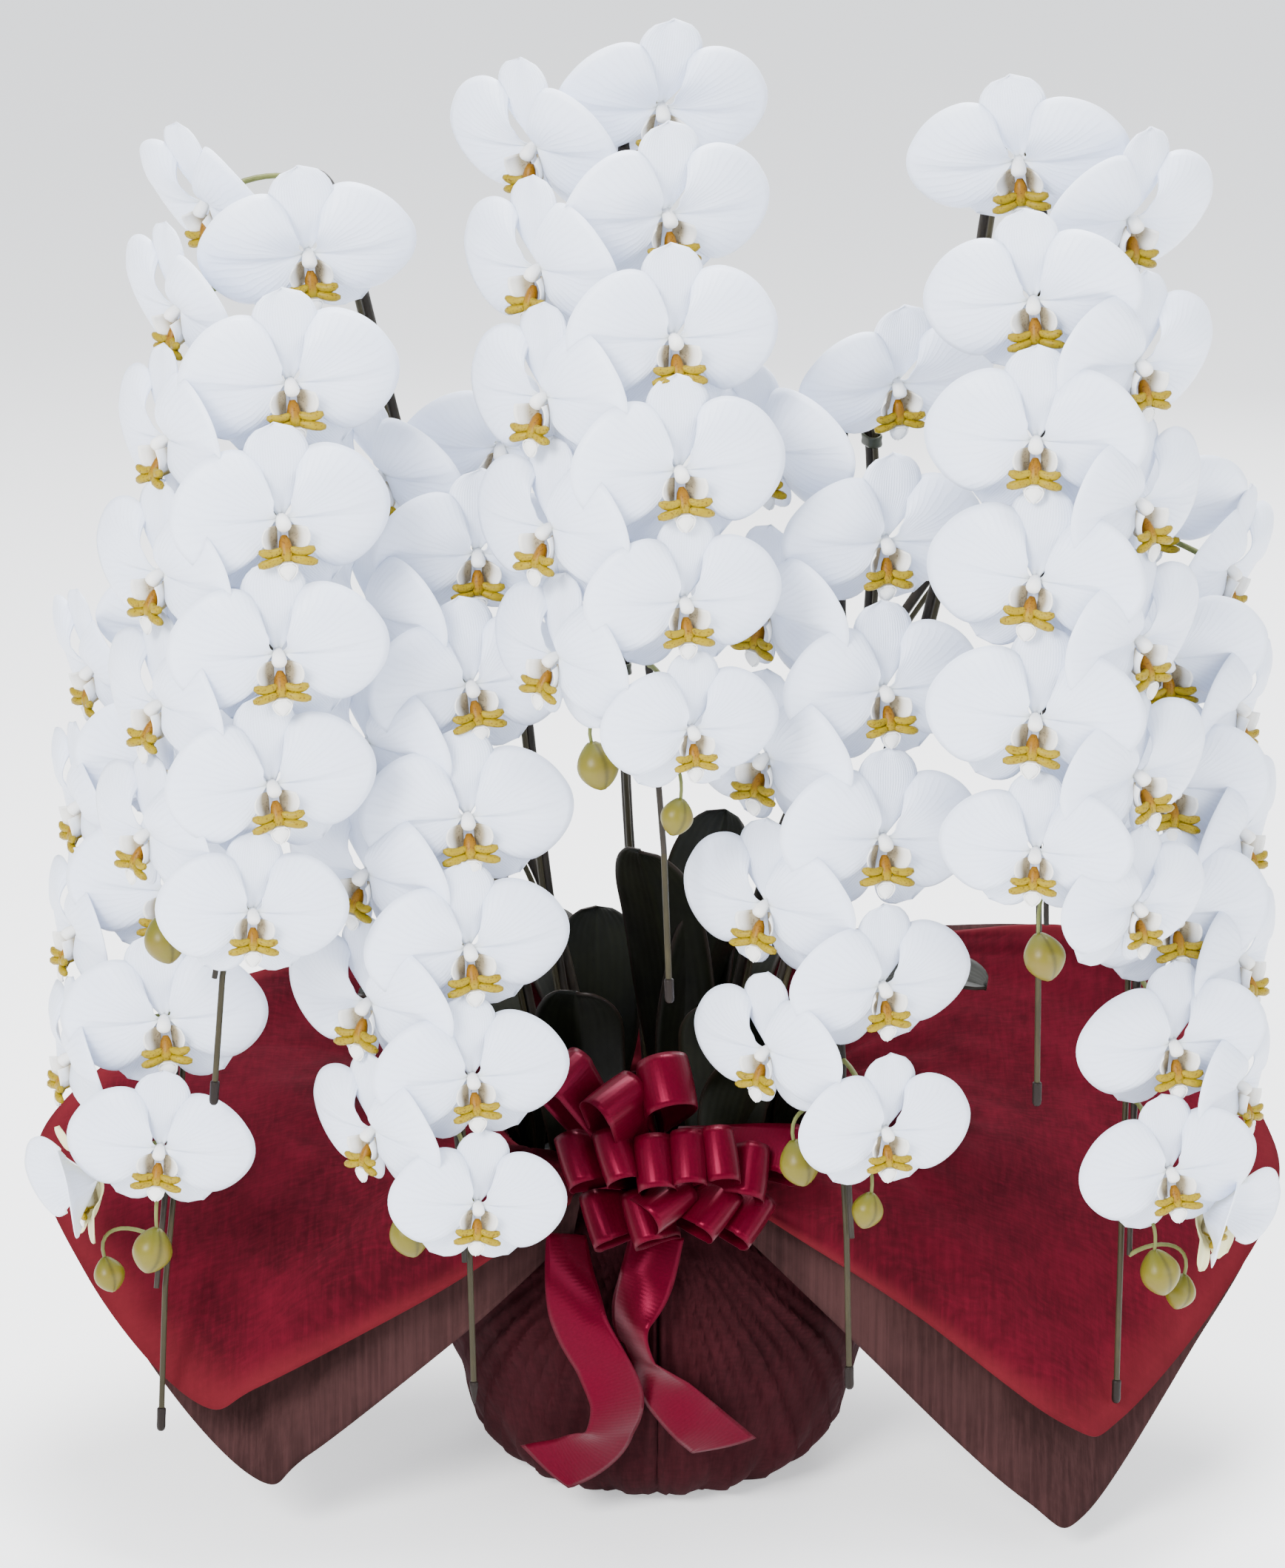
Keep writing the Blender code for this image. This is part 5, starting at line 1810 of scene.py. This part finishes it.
class ORCHID_OT_spikes(bpy.types.Operator):
    """Make the stems and stalks, the blooms with their lips, and the buds"""

    bl_idname = "orchid.spikes"
    bl_label = "Flower spikes"

    def execute(self, context):
        sizes, colours = SIZES(), COLOURS()
        dice = np.random.default_rng(41)
        petal, lip, bud = petal_finish(colours), lip_finish(), bud_finish(colours)
        stem = stem_finish("stem", colours.stem, shade(colours.stem, 2.4))
        stalk = stem_finish("stalk", colours.stalk, shade(colours.stalk, 1.3))
        petals, lips = [], []
        for k in range(BLOOM_PATTERNS):
            wave = (dice.uniform(0.0006, 0.0018), dice.uniform(0, 6), dice.uniform(-1, 1))
            petals.append(bloom_petals(f"petal pattern {k}", wave, dice.uniform(0.0045, 0.0095)))
            lips.append(bloom_lip(f"lip pattern {k}", dice.uniform(0.94, 1.08)))
        wave = (0.0012, 2.0, 0.4)
        petals.append(bloom_petals("half-open pattern", wave, 0.002, 0.62, (1.0, 0.86, 0.34)))
        lips.append(bloom_lip("half-open lip pattern", 0.8))
        bud_form = bud_pattern("bud pattern")
        for spike in SPIKES:
            path = stem_path(spike)
            node = "flower_spike_" + spike.name
            blooms = bloom_spots(spike, path, sizes, dice)
            buds = bud_spots(spike, path, sizes)
            roots = [path.length - spike.bare_tip - k * spike.pitch for k in range(spike.blooms)]
            stems = strands("stem_" + spike.name, [stem_line(path, sizes, roots)], stem, 14)
            placed(stems, [node])
            lines = [pedicel_line(root, spot, sizes.stalk_radius) for root, spot in blooms]
            lines += [bud_stalk(root, spot, sizes.stalk_radius * 0.8) for root, spot in buds]
            placed(strands("stalks_" + spike.name, lines, stalk, 8), [node])
            spots = [spot for _, spot in blooms]
            placed(copies("petals_" + spike.name, spots, petals, petal), [node])
            placed(copies("lips_" + spike.name, spots, lips, lip), [node])
            hung = [spot for _, spot in buds]
            placed(copies("buds_" + spike.name, hung, [bud_form], bud), [node])
        for pattern in petals + lips + [bud_form]:
            removed(pattern)
        return {"FINISHED"}


class ORCHID_OT_wires(bpy.types.Operator):
    """Make the support wires with their end caps and the clips that hold the stems to them"""

    bl_idname = "orchid.wires"
    bl_label = "Wires, caps and clips"

    def execute(self, context):
        sizes, colours = SIZES(), COLOURS()
        wire, cap, clip = wire_finish(colours), cap_finish(), clip_finish()
        pattern = clip_pattern("clip pattern", sizes)
        for spike in SPIKES:
            path = stem_path(spike)
            places = [path.length * k / WIRE_STEPS for k in range(WIRE_STEPS + 1)]
            points = [wire_place(spike, path, distance) for distance in places]
            foot = Vector((points[0].x, points[0].y, moss_height(points[0].x, points[0].y)))
            down = (path.tangent(path.length) - Vector((0, 0, 1))).normalized()
            end = points[-1] + down * spike.wire_tail
            tail = [points[-1].lerp(end, k / 6) for k in range(1, 7)]
            line = [foot - Vector((0, 0, 0.02)), foot] + points + tail
            made = strands("wire_" + spike.name, [[(p, sizes.wire_radius) for p in line]], wire, 12)
            placed(made, ["support_wire_" + spike.name])
            pointed = spike.name == "left_inner"
            start = end + down * 0.0003
            sleeve = cap_shape("cap_" + spike.name, start, down, sizes, pointed)
            sleeve.data.materials.append(cap)
            placed(sleeve, ["wire_cap_" + spike.name])
            for number, share in enumerate(CLIP_PLACES, 1):
                node = f"spike_clip_{spike.name}_{number}"
                low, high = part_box(node)
                place = (Vector(low) + Vector(high)) / 2
                along = path.tangent(share * path.length)
                inner = arch_side(spike).cross(along).normalized()
                turn = Matrix((inner, along.cross(inner), along)).transposed()
                gap = wire_gap(sizes)
                spot = Spot(place - inner * gap / 2, turn, 1.0, 0)
                placed(copies(f"clip_{spike.name}_{number}", [spot], [pattern], clip), [node])
        removed(pattern)
        return {"FINISHED"}


class ORCHID_OT_leaves(bpy.types.Operator):
    """Make each plant's strap leaves"""

    bl_idname = "orchid.leaves"
    bl_label = "Leaves"

    def execute(self, context):
        sizes, colours = SIZES(), COLOURS()
        surface = leaf_finish(colours)
        dice = np.random.default_rng(7)
        for spike in SPIKES:
            out = sum((outward(leaf.azimuth) for leaf in spike.leaves), Vector()).normalized()
            crown = Vector(spike.route[0]) + out * CROWN_OFFSET
            crown.z = moss_height(crown.x, crown.y)
            parts = []
            for number, leaf in enumerate(spike.leaves):
                root = crown + Vector((0, 0, 0.008 + 0.004 * number)) + outward(leaf.azimuth) * 0.002
                parts.append(leaf_sheet(f"leaf {number}", root, leaf, sizes, dice))
            heart = Shape()
            rise = [crown + Vector((0, 0, z)) for z in (-0.004, 0.002, 0.010, 0.020, 0.026)]
            heart.tube(rise, (0.0085, 0.0090, 0.0086, 0.0070, 0.0045), 20, Vector((1, 0, 0)))
            parts.append(heart.object("crown", outwards=True))
            fan = merged("leaves_" + spike.name, parts)
            fan.data.materials.clear()
            fan.data.materials.append(surface)
            placed(fan, ["leaf_fan_" + spike.name])
        return {"FINISHED"}


class ORCHID_OT_pot(bpy.types.Operator):
    """Glaze the pot and fill it with moss"""

    bl_idname = "orchid.pot"
    bl_label = "Pot and moss"

    def execute(self, context):
        sizes = SIZES()
        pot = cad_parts["ceramic_pot"]
        pot.data.materials.clear()
        pot.data.materials.append(glaze_finish())
        mound = moss_mound("moss_mound", moss_finish("moss", (0.009, 0.006, 0.003), (0.036, 0.026, 0.011)))
        placed(mound, ["growing_moss"])
        fibre = moss_finish("moss fibre", (0.026, 0.019, 0.008), (0.070, 0.054, 0.024))
        lines = moss_curls(sizes.moss_fibres, np.random.default_rng(3))
        placed(strands("moss_fibres", lines, fibre, 4), ["growing_moss"])
        return {"FINISHED"}


class ORCHID_OT_wrap(bpy.types.Operator):
    """Gather the cloth round the pot"""

    bl_idname = "orchid.wrap"
    bl_label = "Pot wrap"

    def execute(self, context):
        sizes, colours = SIZES(), COLOURS()
        finish = cloth_finish("wrap cloth", shade(colours.wrap, 0.8), shade(colours.wrap, 1.35), 0.6)
        made = placed(wrap_sheet("wrap_cloth", finish.material, sizes), ["pot_wrap"])
        return {"FINISHED"}


class ORCHID_OT_collars(bpy.types.Operator):
    """Flare the two collar sheets out from the neck"""

    bl_idname = "orchid.collars"
    bl_label = "Collar sheets"

    def execute(self, context):
        sizes, colours = SIZES(), COLOURS()
        inner = NECK_RADIUS + COLLAR_SPACING + 0.5 * COLLAR_CLOTH
        outer = inner + COLLAR_CLOTH + COLLAR_SPACING
        under = NECK_HEIGHT + 0.5 * NECK_BAND
        top = under + COLLAR_SPACING + COLLAR_CLOTH
        dark, light = shade(colours.red_sheet, 0.55), shade(colours.red_sheet, 1.25)
        red = cloth_finish("red cloth", dark, light, 0.5, tuple(colours.red_lit_rim))
        dark, light = shade(colours.brown_sheet, 0.75), shade(colours.brown_sheet, 1.3)
        brown = cloth_finish("brown cloth", dark, light, 0.85)
        over, below = (inner, top, COLLAR_LIFT), (outer, under, 0.6 * COLLAR_LIFT)
        for kind, sides, foot, look, cloth, width, area in (
            ("red", (RED_LEFT, RED_RIGHT), over, (0.0060, 0.4), red, 0.60, 0.215),
            ("brown", (BROWN_LEFT, BROWN_RIGHT), below, (0.0030, 0.4), brown, 0.62, 0.22),
        ):
            slot = kind + "_sheet"
            made = collar_sheet(slot, *sides, *foot, look, cloth.material, sizes)
            placed(made, [kind + "_collar_sheet"])
        return {"FINISHED"}


class ORCHID_OT_ribbon(bpy.types.Operator):
    """Tie the satin ribbon round the neck, with its bow and its two tails"""

    bl_idname = "orchid.ribbon"
    bl_label = "Ribbon"

    def execute(self, context):
        sizes, colours = SIZES(), COLOURS()
        satin = ribbon_finish(colours)
        radius = NECK_RADIUS + 2 * COLLAR_CLOTH + 2.5 * COLLAR_SPACING + 0.0004
        band = Shape()
        height, points = Vector((0, 0, NECK_HEIGHT)), BAND_STEPS + 1
        spine = [outward(360 * k / BAND_STEPS) * radius + height for k in range(points)]
        length = ribbon_sheet(band, spine, [Vector((0, 0, 1))] * points, [TIE_HEIGHT] * points, 0.0006)
        tie = thickened(band.object("ribbon_band", [satin], merge=0.00002), sizes.ribbon_thickness)
        placed(tie, ["ribbon_tie"])

        dice = np.random.default_rng(5)
        loops = Shape()
        total = sum(bow_loop(loops, loop, sizes, dice) for loop in BOW_LOOPS)
        bow = thickened(loops.object("bow_loops", [satin]), sizes.ribbon_thickness)
        placed(bow, ["ribbon_bow"])

        for side, route, twists, cut in (
            ("left", LEFT_TAIL, (58, 40, 8, 0, 14, 30, 8, 0), 0.010),
            ("right", RIGHT_TAIL, (-20, -10, -42, -55, -20, 0, 0), -0.012),
        ):
            tail, length = tail_sheet("tail_" + side, route, twists, cut, sizes, satin)
            placed(tail, ["ribbon_tail_" + side])
        return {"FINISHED"}


MAKERS = (
    ORCHID_OT_stage,
    ORCHID_OT_spikes,
    ORCHID_OT_wires,
    ORCHID_OT_leaves,
    ORCHID_OT_pot,
    ORCHID_OT_wrap,
    ORCHID_OT_collars,
    ORCHID_OT_ribbon,
)


class ORCHID_PT_panel(bpy.types.Panel):
    """Lists the orchid's operators, sizes and colours"""

    bl_label = "Potted orchid"
    bl_idname = "ORCHID_PT_panel"
    bl_space_type = "VIEW_3D"
    bl_region_type = "UI"
    bl_category = "Orchid"

    def draw(self, context):
        for maker in MAKERS:
            self.layout.operator(maker.bl_idname)
        for group in (context.scene.orchid_sizes, context.scene.orchid_colours):
            box = self.layout.box()
            for key in group.__annotations__:
                box.prop(group, key)


CLASSES = (OrchidSizes, OrchidColours, *MAKERS, ORCHID_PT_panel)


def register():
    for one in CLASSES:
        bpy.utils.register_class(one)
    bpy.types.Scene.orchid_sizes = PointerProperty(type=OrchidSizes)
    bpy.types.Scene.orchid_colours = PointerProperty(type=OrchidColours)


def unregister():
    del bpy.types.Scene.orchid_sizes
    del bpy.types.Scene.orchid_colours
    for one in reversed(CLASSES):
        bpy.utils.unregister_class(one)


def main():
    register()
    TREES["strands"] = strand_tree()
    for maker in MAKERS:
        family, name = maker.bl_idname.split(".")
        getattr(getattr(bpy.ops, family), name)()


if __name__ == "__main__":
    main()
